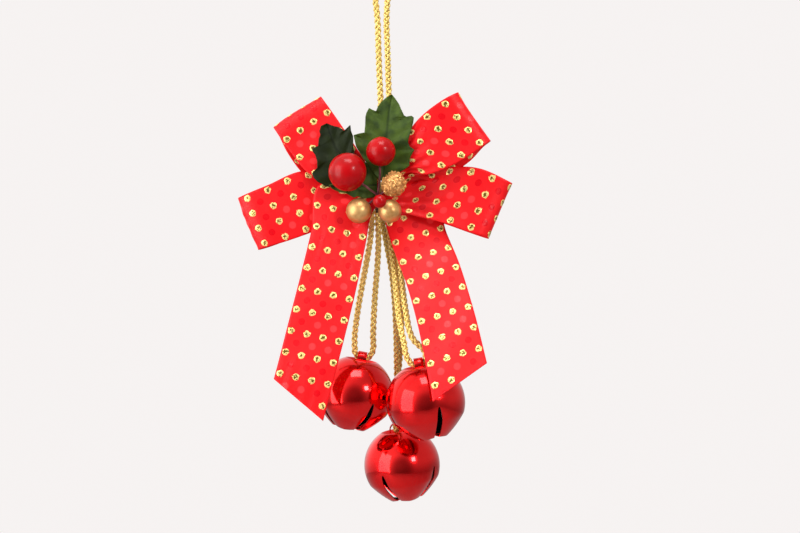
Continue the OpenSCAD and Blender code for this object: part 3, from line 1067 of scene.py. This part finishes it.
@dataclass
class Bow:
    """Four loops and two tails of ribbon, gathered by the tie wire. Places are in millimetres."""

    loops: list[LoopShape] = field(default_factory=lambda: [
        LoopShape("upper_left_loop",
                  [(-0.5, -124.8), (-8, -113), (-17.5, -98.5), (-25, -87.5), (-32, -77.7)],
                  [(-0.5, -134), (-20, -126), (-38, -119), (-49, -106), (-57.1, -94.3)],
                  [-3.4, -4.6, -6.4, -6.2, -2.4], [1.6, 4.8, 1.6, -1.8], (-1.6, -1.4), 3.2),
        LoopShape("lower_left_loop",
                  [(-0.5, -125), (-20, -120.5), (-41.6, -117.4), (-60, -124.8), (-76.2, -131.6)],
                  [(-0.5, -135), (-16, -140), (-32, -148), (-49.5, -154.5), (-65.6, -159.3)],
                  [0.2, -0.6, -2.6, -3.2, 0.8], [4.2, 7.6, 5.0, 1.4], (0.6, 1.2), 3.6, -7.0),
        LoopShape("upper_right_loop",
                  [(0.5, -125), (7, -109), (17.4, -93.5), (33.5, -80.5), (40.8, -76.6)],
                  [(0.5, -133), (13, -119), (25, -119.8), (46.5, -110.1), (57.7, -102.3)],
                  [-3.4, -6.8, -11.5, -13.5, -9.2], [-5.0, -3.0, -2.6, -1.8], (1.4, -2.4), 4.0,
                  -10.0, -0.155),
        LoopShape("lower_right_loop",
                  [(0.5, -126), (18, -119.5), (36, -115.5), (54, -117), (69.8, -124.2)],
                  [(0.5, -134.5), (14, -140), (33, -145), (47, -150), (57.1, -153.5)],
                  [0.2, -1.5, -5.5, -8.0, -3.6], [0.4, 2.2, 2.4, 1.4], (0.0, 0.0), 4.0, -2.0),
    ])
    left_tail: Edges = field(default_factory=lambda: [
        ((-0.5, -5.6, -125.0), (-0.5, -5.6, -134.5)), ((-15, -5.6, -121), (-2.8, -5.8, -137)),
        ((-31.6, -6.0, -124.2), (-5.2, -6.8, -141.5)), ((-36.4, -9.0, -148.9), (-8, -11.0, -157)),
        ((-42, -15.0, -174), (-13, -16.2, -181.5)), ((-48, -19.8, -199), (-19, -21.2, -207)),
        ((-54.4, -24.0, -225.2), (-25.6, -25.2, -233)), ((-59.2, -26.6, -244), (-30.3, -26.6, -251.8))])
    right_tail: Edges = field(default_factory=lambda: [
        ((0.5, 2.7, -134.5), (0.5, 2.7, -125.5)), ((1.4, 2.8, -140), (15, 2.6, -125.5)),
        ((2.8, 2.3, -147), (30.4, 2.9, -137.6)), ((6.7, -3.2, -159.3), (35.1, 0.6, -150.5)),
        ((12.8, -11.0, -175.2), (41.2, -6.5, -166)), ((19.0, -23.2, -197.5), (47.6, -18.5, -188.5)),
        ((23.2, -34.4, -217.7), (52.3, -29.6, -209)), ((26.3, -43.4, -234.7), (55.7, -38.6, -226)),
        ((29.2, -51.6, -251.5), (58.6, -46.8, -243))])

    def build(self, satin: Material, gold: Material) -> None:
        """Builds every strip."""
        for number, shape in enumerate(self.loops):
            Strip(shape.name, shape.edges(), origin=len(shape.upper) + 1, skew=shape.skew,
                  dot_start=shape.dot_start, phase=1.3 * number, neck_lift=0.55).build(satin, gold)
        Strip("left_tail", self.left_tail, origin=6, skew=0.04, cut=(19.0, 5.0), dot_start=-3.6,
              along_pitch=11.33, phase=0.4).build(satin, gold)
        Strip("right_tail", self.right_tail, origin=6, cut=(18.4, 29.7), dot_start=0.0,
              along_pitch=12.0, phase=2.1).build(satin, gold)


# ---------------------------------------------------------------- solid pieces


def primitive(kind: str, name: str, **settings: object) -> Object:
    """Adds a mesh primitive with nothing else selected.

    Args:
        kind: The primitive, such as "cube" or "uv_sphere".
        name: Name of the new object.
        settings: Settings of the operator.

    Returns:
        The new object.
    """
    bpy.ops.object.select_all(action="DESELECT")
    getattr(bpy.ops.mesh, f"primitive_{kind}_add")(**settings)
    made = bpy.context.active_object
    made.name = name
    return made


def box(name: str, centre: Point, size: Point) -> Object:
    """Adds a box with its sizes applied. Sizes in millimetres."""
    made = primitive("cube", name, size=1.0)
    made.scale = [d * MM for d in size]
    settle(made, centre)
    return made


def combine(target: Object, operation: str, *others: Object) -> None:
    """Combines an object with others, which are used up.

    Args:
        target: The object that changes.
        operation: UNION or DIFFERENCE.
        others: The objects that are added or taken away.
    """
    for other in others:
        modify(target, "BOOLEAN", operation=operation, solver="EXACT", object=other)
        bpy.data.objects.remove(other, do_unlink=True)


def weigh(made: Object, weight: object) -> str:
    """Gives an object a vertex group from a function of a vertex's place in millimetres."""
    group = made.vertex_groups.new(name="weight")
    for vertex in made.data.vertices:
        value = float(weight(vertex.co / MM))
        if value > LEAST_WEIGHT:
            group.add([vertex.index], min(1.0, value), "REPLACE")
    return group.name


def push(made: Object, strength: float, weight: object) -> None:
    """Pushes an object's surface out by a weighted amount.

    Args:
        made: The object.
        strength: Distance in millimetres where the weight is 1; negative pushes in.
        weight: A function from a vertex's place in millimetres to its weight.
    """
    modify(made, "DISPLACE", vertex_group=weigh(made, weight), mid_level=0.0, strength=strength * MM)
    made.vertex_groups.clear()


def press(made: Object, share: float, weight: object) -> None:
    """Draws an object's surface towards its own middle by a weighted amount.

    Args:
        made: The object.
        share: Share of the way to the middle where the weight is 1.
        weight: A function from a vertex's place in millimetres to its weight.
    """
    modify(made, "CAST", cast_type="SPHERE", vertex_group=weigh(made, weight), use_radius_as_size=False,
           size=0.01 * MM, factor=share)
    made.vertex_groups.clear()


def finish_edges(made: Object, width: float, degrees: float = 32) -> None:
    """Bevels the sharp edges of an object by millimetres and shades it smooth between the others."""
    modify(made, "BEVEL", width=width * MM, segments=2, limit_method="ANGLE", angle_limit=math.radians(40))
    bpy.ops.object.shade_smooth_by_angle(angle=math.radians(degrees))


def ease(value: float) -> float:
    """Holds a share between 0 and 1 and eases it in and out."""
    held = max(0.0, min(1.0, value))
    return held * held * (3 - 2 * held)


def wires(name: str, lines: list[np.ndarray], radius: float) -> Object:
    """Makes round wires along lines, as one mesh.

    Args:
        name: Name of the object.
        lines: The points of each wire in millimetres.
        radius: Radius of the wire in millimetres.

    Returns:
        The new object.
    """
    curve = bpy.data.curves.new(name, "CURVE")
    curve.dimensions = "3D"
    curve.bevel_depth = radius * MM
    curve.bevel_resolution = 2
    curve.use_fill_caps = True
    for line in lines:
        spline = curve.splines.new("POLY")
        spline.points.add(len(line) - 1)
        for point, place in zip(spline.points, line):
            point.co = (*(float(c) * MM for c in place), 1.0)
    made = bpy.data.objects.new(name, curve)
    bpy.context.scene.collection.objects.link(made)
    choose(made)
    bpy.ops.object.convert(target="MESH")
    made = bpy.context.active_object
    made.name = name
    bpy.ops.object.shade_smooth()
    return made


# ---------------------------------------------------------------- bells


@dataclass
class JingleBell:
    """One pressed steel bell with a strap shank. Sizes are in millimetres and degrees.

    Args:
        side: Which bell it is: left, right or lower.
        centre: Its centre.
        lean: How far its top leans towards +X.
        slots: Turn of its slots, from -Y towards +X.
        shank: Turn of its shank.
    """

    side: Side
    centre: Point
    lean: float
    slots: float
    shank: float
    radius: float = 20.5
    wall: float = 0.6
    flat: float = 0.905
    slot_half: float = 1.6
    slot_middle: float = -13.4
    slot_height: float = 12.2
    hole_z: float = 19.4
    arch: float = 3.1
    strap_width: float = 4.8
    strap: float = 0.7
    leg_end: float = 14.45
    dish_z: float = 15.8
    dish_r: float = 7.2
    dish_rim: float = 8.6
    tab: float = 3.0
    pinch_depth: float = 0.8
    pinch_reach: float = 4.2
    pinch_top: float = 2.5
    pinch_fade: float = 10.0
    taper_depth: float = 0.9
    taper_at: float = -45.0
    taper_spread: float = 21.0

    def build(self, lacquer: Material, inside: Material, steel: Material) -> None:
        """Builds the shell and the shank, and dresses the pellet, whose CAD shape stays."""
        body = f"{self.side.value}_bell"
        shell = self.build_shell(lacquer, inside)
        settle(shell, self.centre, (0, self.lean, 0))
        dress(shell, body, "bell_lacquer", f"{body}_shell")
        shank = self.build_shank()
        settle(shank, self.centre, (0, self.lean, 0))
        dress(shank, body, "bell_lacquer", f"{body}_shank", lacquer)
        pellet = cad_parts[f"{body}_pellet"]
        pellet.data.materials.clear()
        pellet.data.materials.append(steel)

    def from_slot(self, place: Vector) -> float:
        """Gives how far a place is from the nearest slot plane."""
        turn = math.radians(self.slots)
        x = place.x * math.cos(turn) + place.y * math.sin(turn)
        y = -place.x * math.sin(turn) + place.y * math.cos(turn)
        return min(abs(x), abs(y))

    def pinch(self, place: Vector) -> float:
        """Weight of the pressed-in band beside the slots, below the middle."""
        beside = math.exp(-((self.from_slot(place) / self.pinch_reach) ** 2))
        return beside * ease((self.pinch_top - place.z) / self.pinch_fade)

    def sunk(self, place: Vector) -> float:
        """Share of the way to the middle at which a place meets the floor of the dish."""
        return max(0.0, 1 - self.dish_z * place.length / (self.radius * max(place.z, 1e-3)))

    def dish(self, place: Vector) -> float:
        """Weight of the dish round the shank, which is 1 in its middle."""
        if place.z <= 0:
            return 0.0
        away = math.hypot(place.x, place.y) / place.length * self.radius
        return self.sunk(place) / self.deepest * ease((self.dish_rim - away) / (self.dish_rim - self.dish_r))

    def taper(self, place: Vector) -> float:
        """Weight of the flatter belt between the middle and the foot."""
        rise = math.degrees(math.asin(place.z / place.length))
        return max(0.0, 1 - ((rise - self.taper_at) / self.taper_spread) ** 2)

    @property
    def deepest(self) -> float:
        """Share of the radius by which the middle of the dish is sunk."""
        return 1 - self.dish_z / self.radius

    def dome(self, name: str, inset: float) -> Object:
        """Builds the shell's outer shape, or its inner one, set in by an inset."""
        dome = primitive("uv_sphere", name, segments=144, ring_count=72, radius=(self.radius - inset) * MM)
        floor = (-self.flat * self.radius + inset) * MM
        bpy.ops.object.mode_set(mode="EDIT")
        bpy.ops.mesh.select_all(action="SELECT")
        bpy.ops.mesh.bisect(plane_co=(0, 0, floor), plane_no=(0, 0, -1))
        bpy.ops.mesh.select_all(action="DESELECT")
        bpy.ops.object.mode_set(mode="OBJECT")
        for vertex in dome.data.vertices:
            vertex.select = vertex.co.z < floor
        bpy.ops.object.mode_set(mode="EDIT")
        bpy.ops.transform.resize(value=(1, 1, 0), center_override=(0, 0, floor))
        bpy.ops.object.mode_set(mode="OBJECT")
        return dome

    def build_shell(self, lacquer: Material, inside: Material) -> Object:
        """Builds the shell in the bell's own frame."""
        shell = self.dome(f"{self.side.value}_bell_dome", 0.0)
        hollow = self.dome("hollow", self.wall)
        for material in (lacquer, inside):
            shell.data.materials.append(material)
        hollow.data.materials.append(inside)
        cutters = [hollow]
        for turn in (0, 90):
            slot = primitive("cylinder", "slot", vertices=72, radius=1.0, depth=60 * MM,
                             rotation=(math.radians(90), 0, 0))
            settle(slot)
            slot.scale = (self.slot_half * MM, 1, self.slot_height * MM)
            settle(slot, (0, 0, self.slot_middle))
            settle(slot, turn=(0, 0, self.slots + turn))
            slot.data.materials.append(lacquer)
            cutters.append(slot)
        drawn = 1 - self.deepest  # the slits shrink by this share when the dish is pressed in
        for sign in (-1, 1):
            slit = box("slit", (0, sign * (self.arch + self.strap / 2) / drawn, self.radius),
                       ((self.strap_width + 0.5) / drawn, (self.strap + 0.35) / drawn, 8))
            settle(slit, turn=(0, 0, self.shank))
            slit.data.materials.append(lacquer)
            cutters.append(slit)
        combine(shell, "DIFFERENCE", *cutters)
        press(shell, self.pinch_depth / self.radius, self.pinch)
        press(shell, self.taper_depth / self.radius, self.taper)
        press(shell, self.deepest, self.dish)
        finish_edges(shell, 0.13)
        return shell

    def build_shank(self) -> Object:
        """Builds the bent strap, its legs and the tabs that hold it inside the shell."""
        outer = self.arch + self.strap
        middle = (self.hole_z + self.leg_end) / 2
        tall = self.hole_z - self.leg_end
        strap = self.cross_cylinder(f"{self.side.value}_bell_strap", outer, self.strap_width)
        combine(strap, "UNION", box("legs", (0, 0, middle), (self.strap_width, 2 * outer, tall)))
        combine(strap, "DIFFERENCE", self.cross_cylinder("hole", self.arch, 2 * self.strap_width),
                box("gap", (0, 0, middle - 1), (2 * self.strap_width, 2 * self.arch, tall + 2)))
        for sign in (-1, 1):
            tab_middle = (0, sign * (outer + self.tab / 2 - 0.2), self.leg_end + self.strap / 2)
            combine(strap, "UNION", box("tab", tab_middle, (self.strap_width, self.tab + 0.4, self.strap)))
        finish_edges(strap, 0.18)
        settle(strap, turn=(0, 0, self.shank))
        return strap

    def cross_cylinder(self, name: str, radius: float, width: float) -> Object:
        """Adds a cylinder across the shank's hole."""
        made = primitive("cylinder", name, vertices=64, radius=radius * MM, depth=width * MM,
                         rotation=(0, math.radians(90), 0))
        settle(made, (0, 0, self.hole_z))
        return made


@dataclass
class Bells:
    """The three bells."""

    bells: list[JingleBell] = field(default_factory=lambda: [
        JingleBell(Side.LEFT, (-14, 1.5, -236.3), 11, 32, 0),
        JingleBell(Side.RIGHT, (23.3, -19, -238.1), -10, 18, 0),
        JingleBell(Side.LOWER, (11.2, 10, -275.6), -9, -32, 90)])

    def build(self, lacquer: Material, inside: Material, steel: Material) -> None:
        """Builds every bell."""
        for bell in self.bells:
            bell.build(lacquer, inside, steel)


# ---------------------------------------------------------------- pick: leaves, berries, balls and stems


@dataclass(frozen=True)
class LeafShape:
    """One toothed leaf, given by its midrib and its two sides from the base to the tip.

    Args:
        name: The CAD node that it stands for.
        rib: Places (x, z) on the midrib.
        first: Places (x, z) on one side, from the base to the tip.
        second: Places (x, z) on the other side.
        depth: Depth y at the base, the middle and the tip.
        lift: How far each side is raised towards the viewer at its edge.
        veins: Number of side veins.
        ripple: Depth of the creases between the side veins.
        flat: Width and length of the cloth it was cut from; not used.
    """

    name: str
    rib: list[Pair]
    first: list[Pair]
    second: list[Pair]
    depth: tuple[float, float, float]
    lift: Pair
    veins: float
    ripple: float
    flat: Pair
    groove: float = 0.45
    groove_width: float = 0.09
    wave: float = 0.25
    thickness: float = 0.28

    def build(self, cloth: Material) -> None:
        sides = [np.array(side, float) for side in (self.first, self.second)]
        marks = [run_lengths(side) / run_lengths(side)[-1] for side in sides]
        t = np.unique(np.round(np.concatenate([*marks, np.linspace(0, 1, 61)]), 4))
        rib = places_at(catmull_rom(np.array(self.rib, float), 20), t)
        edges = [places_at(side, t) for side in sides]
        v = np.linspace(-1, 1, 29)
        grid = np.zeros((len(t), len(v), 3))
        bulge = np.sin(math.pi * t).clip(0)
        for k, share in enumerate(v):
            side, away = int(share >= 0), abs(share)
            grid[:, k, ::2] = rib * (1 - away) + edges[side] * away
            vein = np.abs(((t * self.veins - away * 0.9) % 1.0) - 0.5) * 2
            ridge = self.ripple * (vein - 0.5) * away * np.sin(math.pi * np.clip(t, 0.02, 1)) ** 0.4
            lift = self.lift[side] * away ** 1.5 * bulge ** 0.7
            groove = self.groove * math.exp(-((away / self.groove_width) ** 2))
            wave = self.wave * np.sin(t * 21 + share * 4)
            grid[:, k, 1] = np.interp(t, (0, 0.5, 1), self.depth) - lift + ridge + groove + wave
        leaf = make_cloth(self.name + "_cloth", grid, np.stack(np.meshgrid(v, t), axis=-1), self.thickness)
        dress(leaf, "root", "leaf_cloth", self.name, cloth)


@dataclass(frozen=True)
class Ball:
    """One round piece of the pick. Sizes are in millimetres.

    Args:
        node: The CAD node that it stands for.
        centre: Its centre.
        diameter: Its diameter.
        slot: The record's material slot.
        stem_from: The direction in which its stem leaves.
    """

    node: str
    centre: Point
    diameter: float
    slot: str
    stem_from: Point
    dimple_reach: float = 0.42
    dimple_depth: float = 0.05
    dip_depth: float = 0.012

    def dimple(self, place: Vector) -> float:
        """Weight of the dimple where the stem goes in."""
        way = Vector(self.stem_from).normalized()
        return max(0.0, 1 - (place.normalized() - way).length / self.dimple_reach) ** 2

    def dips(self, place: Vector) -> float:
        """Weight of slow unevenness all over."""
        return 0.5 + 0.5 * noise.noise(place * (5.0 / self.diameter) + Vector(self.centre))

    def build(self, material: Material) -> None:
        """Builds the ball."""
        ball = primitive("uv_sphere", self.node + "_ball", segments=64, ring_count=40,
                         radius=self.diameter / 2 * MM)
        push(ball, -self.dimple_depth * self.diameter, self.dimple)
        push(ball, -self.dip_depth * self.diameter, self.dips)
        settle(ball, self.centre)
        bpy.ops.object.shade_smooth()
        dress(ball, "root", self.slot, self.node, material)


@dataclass
class GlitterNugget:
    """A rough lump covered in coarse glitter. Sizes are in millimetres."""

    centre: Point = (6.9, -17, -125.4)
    diameter: float = 13.0
    crumbs: int = 300
    crumb_size: Pair = (0.35, 0.95)
    core_share: float = 0.88
    roughness: float = 0.95
    seed: int = 7

    def lump(self, place: Vector) -> float:
        """Weight of the rough surface."""
        return 0.5 + 0.5 * noise.noise(place * 0.34) + 0.35 * noise.noise(place * 1.1)

    def build(self, glitter: Material) -> None:
        """Builds the lump and the crumbs on it."""
        core = primitive("ico_sphere", "nugget_core", subdivisions=5,
                         radius=self.diameter / 2 * MM * self.core_share)
        core.scale = (1.0, 0.95, 0.98)
        settle(core)
        push(core, self.roughness, self.lump)
        surface = [vertex.co.copy() for vertex in core.data.vertices]
        rng = np.random.default_rng(self.seed)
        first = primitive("ico_sphere", "crumb", subdivisions=1, radius=MM)
        pieces = []
        for number in rng.choice(len(surface), self.crumbs, replace=False):
            crumb = first.copy()
            crumb.data = first.data.copy()
            bpy.context.scene.collection.objects.link(crumb)
            size = rng.uniform(*self.crumb_size)
            crumb.scale = (size, size * rng.uniform(0.6, 1.0), size * rng.uniform(0.4, 0.9))
            crumb.rotation_euler = tuple(rng.uniform(0, math.pi, 3))
            crumb.location = surface[int(number)]
            pieces.append(crumb)
        bpy.data.objects.remove(first, do_unlink=True)
        bpy.ops.object.select_all(action="DESELECT")
        for crumb in pieces:
            crumb.select_set(True)
        core.select_set(True)
        bpy.context.view_layer.objects.active = core
        bpy.ops.object.join()
        core.name = "glitter_nugget_lump"
        settle(core, self.centre)
        bpy.ops.object.shade_smooth_by_angle(angle=math.radians(30))
        dress(core, "root", "copper_glitter", "glitter_nugget", glitter)


@dataclass
class Pick:
    """The small spray tied over the knot: leaves, berries, gold balls and stems. In millimetres."""

    root: Point = (-1.8, -9.9, -131.6)
    stem_radius: float = 0.6
    stem_sunk: float = 0.40
    wrap_top: Point = (-1.0, -10.0, -132.6)
    wrap_turns: float = 5.5
    wrap_pitch: float = 1.25
    wrap_radius: float = 1.25
    tape_radius: float = 0.62
    leaves: list[LeafShape] = field(default_factory=lambda: [
        LeafShape("left_leaf", [(-9, -121), (-17, -114.5), (-24, -105), (-28.3, -93.1)],
                  [(-9, -121), (-13, -113), (-14.3, -106.5), (-14.5, -99.8), (-15.5, -97.1), (-15.9, -94.1),
                   (-17.9, -96.1), (-18.9, -97.1), (-21.6, -95.3), (-25.6, -94.2), (-28.3, -93.1)],
                  [(-9, -121), (-14, -125), (-20, -126.6), (-26.9, -126.4), (-29.6, -125.6), (-33.3, -123.6),
                   (-35.3, -121.3), (-36, -119.3), (-33.3, -116.6), (-33.2, -112.6), (-34.3, -109.5),
                   (-35.6, -107.9), (-36, -106.5), (-32.8, -105.2), (-32.4, -101.2), (-31.6, -99.2),
                   (-32.1, -97.1), (-31.3, -94.5), (-28.3, -93.1)],
                  (-9.0, -9.6, -10.5), (2.4, 1.8), 5.5, 0.8, (34, 36)),
        LeafShape("right_leaf", [(1, -123), (2.2, -110), (3.2, -98), (4.2, -88), (5.8, -77.8)],
                  [(-1, -123), (-5, -117), (-9.5, -111), (-13, -105), (-14.2, -99.2), (-11.5, -98.5),
                   (-8.5, -98.1), (-8.2, -94.5), (-8, -89.8), (-7.5, -87.8), (-6.2, -85.1), (-5.1, -86.4),
                   (-2.5, -86.8), (-1.5, -84.4), (0.2, -81.7), (2.6, -79.7), (5.8, -77.8)],
                  [(3, -122), (6, -119), (10, -118.4), (12.6, -117.2), (15, -115.2), (15, -112.6),
                   (16, -109.9), (17.6, -107.2), (15, -105.2), (14.3, -103.2), (15, -99.8), (16, -96.5),
                   (17, -93.1), (17.3, -90.4), (16.3, -89.4), (14.3, -90.1), (12.3, -89.1), (10.6, -85.8),
                   (9.6, -83.1), (7.9, -80.4), (5.8, -77.8)],
                  (-8.6, -9.8, -9.4), (1.6, 3.4), 6.5, 1.5, (34, 48)),
        LeafShape("middle_leaf", [(-2, -125), (-14, -126.6), (-27, -125.5)],
                  [(-2, -117.5), (-6.4, -113.6), (-9.2, -113.2), (-12.6, -117.6), (-19, -122), (-27, -125.5)],
                  [(-2, -131.5), (-8.8, -132.4), (-12, -131.2), (-14.2, -132), (-18.2, -129.6),
                   (-21.6, -129.2), (-25.6, -127.2), (-27, -125.5)],
                  (-8.4, -9.8, -10.8), (0.6, 1.2), 4.0, 0.7, (16, 27)),
    ])
    balls: list[Ball] = field(default_factory=lambda: [
        Ball("large_red_berry", (-17, -20, -119.4), 20, "berry_gloss", (0.75, 0.25, -0.6)),
        Ball("medium_red_berry", (0.2, -18, -108.6), 15.4, "berry_gloss", (-0.05, 0.35, -0.93)),
        Ball("small_red_berry", (-0.3, -25, -134.8), 7, "berry_gloss", (0, 0.95, 0.3)),
        Ball("left_gold_ball", (-11.3, -16.5, -139.2), 13.2, "gold_satin", (0.6, 0.6, 0.5)),
        Ball("right_gold_ball", (4.8, -16.5, -139.4), 12.4, "gold_satin", (-0.4, 0.6, 0.6)),
    ])

    def build(self, finishes: dict[str, Material]) -> None:
        """Builds every piece of the pick."""
        for leaf in self.leaves:
            leaf.build(finishes["left_leaf" if leaf.name == "left_leaf" else "right_leaf"])
        for ball in self.balls:
            ball.build(finishes[ball.slot])
        GlitterNugget().build(finishes["copper_glitter"])
        self.build_stems(finishes["stem_wire"])
        self.build_wrap(finishes["wrap_tape"])

    def build_stems(self, paper: Material) -> None:
        """Builds the paper-covered wires that run from the balls to the wrap."""
        lines = []
        heads = [(head.centre, head.diameter) for head in (*self.balls, GlitterNugget())]
        for number, (centre, diameter) in enumerate(heads):
            turn = number * 1.05
            root = np.array(self.root) + np.array([0.5 * math.cos(turn), 0, 0.5 * math.sin(turn)])
            head = np.array(centre, float)
            way = (root - head) / np.linalg.norm(root - head)
            inside = head + way * diameter * self.stem_sunk
            bow = np.array([0.5 * math.sin(number * 2.2), 0.5, 0.3 * math.cos(number)])
            middle = (inside + root) / 2 + bow
            low = root + np.array([0, -0.6, -6.0])
            lines.append(smooth_line([tuple(inside), tuple(middle), tuple(root), tuple(low)], 0.5))
        stems = wires("pick_stem_wires", lines, self.stem_radius)
        dress(stems, "root", "stem_wire", "pick_stems", paper)

    def build_wrap(self, tape: Material) -> None:
        """Builds the tape wound round the stems."""
        x, y, z = self.wrap_top
        angle = np.linspace(0, self.wrap_turns * 2 * math.pi, int(self.wrap_turns * 28))
        line = np.stack([x + self.wrap_radius * np.cos(angle), y + self.wrap_radius * np.sin(angle),
                         z - self.wrap_pitch * angle / (2 * math.pi)], axis=1)
        wrap = wires("pick_wrap_tape", [line], self.tape_radius)
        dress(wrap, "root", "wrap_tape", "pick_wrap", tape)


@dataclass
class TieWire:
    """Soft wire wound round the gathered ribbons, with its ends twisted together behind. In millimetres."""

    y_front: float = -7.0
    y_back: float = 7.9
    half_height: float = 6.8
    centre_z: float = -130.0
    corner: float = 4.5
    turns: int = 4
    spread: float = 0.62
    radius: float = 0.24
    twist_radius: float = 0.3
    twist_turns: float = 5.0
    twist_length: float = 7.0

    def ring(self, steps: int) -> np.ndarray:
        """Gives places (y, z) evenly round a rounded rectangle."""
        inner_y = (self.y_front + self.corner, self.y_back - self.corner)
        inner_z = self.half_height - self.corner
        y0, y1 = inner_y
        centres = [(y1, inner_z), (y0, inner_z), (y0, -inner_z), (y1, -inner_z)]
        corners = []
        for number, (y, z) in enumerate(centres):
            for angle in np.linspace(0, math.pi / 2, 9) + number * math.pi / 2:
                corners.append((y + self.corner * math.cos(angle), z + self.corner * math.sin(angle)))
        return places_at(np.array(corners + corners[:1]), np.linspace(0, 1, steps, endpoint=False))

    def build(self, metal: Material) -> None:
        """Builds the wound wire."""
        steps = 64
        ring = self.ring(steps)
        count = self.turns * steps
        x = np.linspace(-self.spread, self.spread, count)
        wound = np.array([(x[i], *ring[i % steps]) for i in range(count)])
        wound[:, 2] += self.centre_z
        angle = np.linspace(0, self.twist_turns * 2 * math.pi, 70)
        down = np.linspace(0, self.twist_length, 70)
        across, behind, top = self.twist_radius, self.y_back + 0.25, self.centre_z + 2
        ends = (angle, angle + math.pi)
        twists = [np.stack([across * np.cos(turn), behind + across * np.sin(turn), top - down], axis=1)
                  for turn in ends]
        wire = wires("bow_tie_wire", [wound, *twists], self.radius)
        dress(wire, "root", "tie_wire", "tie_wire", metal)


# ---------------------------------------------------------------- the whole ornament


def build_finishes() -> dict[str, Material]:
    """Builds every material once."""
    effects = Effects()
    finishes = {
        "red_satin": RibbonSatin(),
        "gold_dots": DotGold(),
        "gold_braid": GoldBraid(),
        "bell_lacquer": MarkedCoat(
            "bell_lacquer", (0.92, 0.014, 0.014), (0.78, 0.006, 0.008), (0.11, 0.2), 90.0, (0.12, 1.2),
            {"Metallic": 1.0, "Coat_Weight": 0.28, "Coat_Roughness": 0.06, "Coat_IOR": 1.45}),
        "bell_inside": MarkedCoat("bell_inside", (0.012, 0.003, 0.004), (0.02, 0.004, 0.005), (0.6, 0.8),
                                  settings={"Metallic": 0.6}),
        "pellet_steel": MarkedCoat("pellet_steel", (0.20, 0.19, 0.18), (0.12, 0.10, 0.09), (0.4, 0.6)),
        "tie_wire": MarkedCoat("tie_wire", (0.55, 0.42, 0.16), (0.34, 0.24, 0.09), (0.32, 0.52)),
        "berry_gloss": MarkedCoat(
            "berry_gloss", (0.41, 0.001, 0.003), (0.31, 0.001, 0.002), (0.3, 0.3), 160.0, (0.1, 0.5),
            {"Coat_Weight": 0.40, "Coat_Roughness": 0.12, "Coat_IOR": 1.28, "Specular_IOR_Level": 0.12}),
        "gold_satin": GoldSatin(),
        "copper_glitter": CopperGlitter(),
        "left_leaf": LeafCloth(
            "dark_leaf", (0.008, 0.014, 0.001), (0.020, 0.034, 0.006), (0.004, 0.007, 0.002)),
        "right_leaf": LeafCloth(
            "light_leaf", (0.044, 0.078, 0.006), (0.095, 0.160, 0.030), (0.008, 0.020, 0.004)),
        "stem_wire": WrappedPaper("stem_paper", (0.26, 0.070, 0.090), (0.12, 0.022, 0.035)),
        "wrap_tape": WrappedPaper("wrap_tape", (0.022, 0.052, 0.018), (0.010, 0.022, 0.008)),
    }
    return {name: finish.build(effects) for name, finish in finishes.items()}


def main() -> None:
    """Builds the ornament and its surroundings."""
    logging.basicConfig(level=logging.INFO, format="%(name)s: %(message)s")
    Studio().build()
    finishes = build_finishes()
    Cords().build(finishes["gold_braid"])
    Bow().build(finishes["red_satin"], finishes["gold_dots"])
    TieWire().build(finishes["tie_wire"])
    Pick().build(finishes)
    Bells().build(finishes["bell_lacquer"], finishes["bell_inside"], finishes["pellet_steel"])


if __name__ == "__main__":
    main()
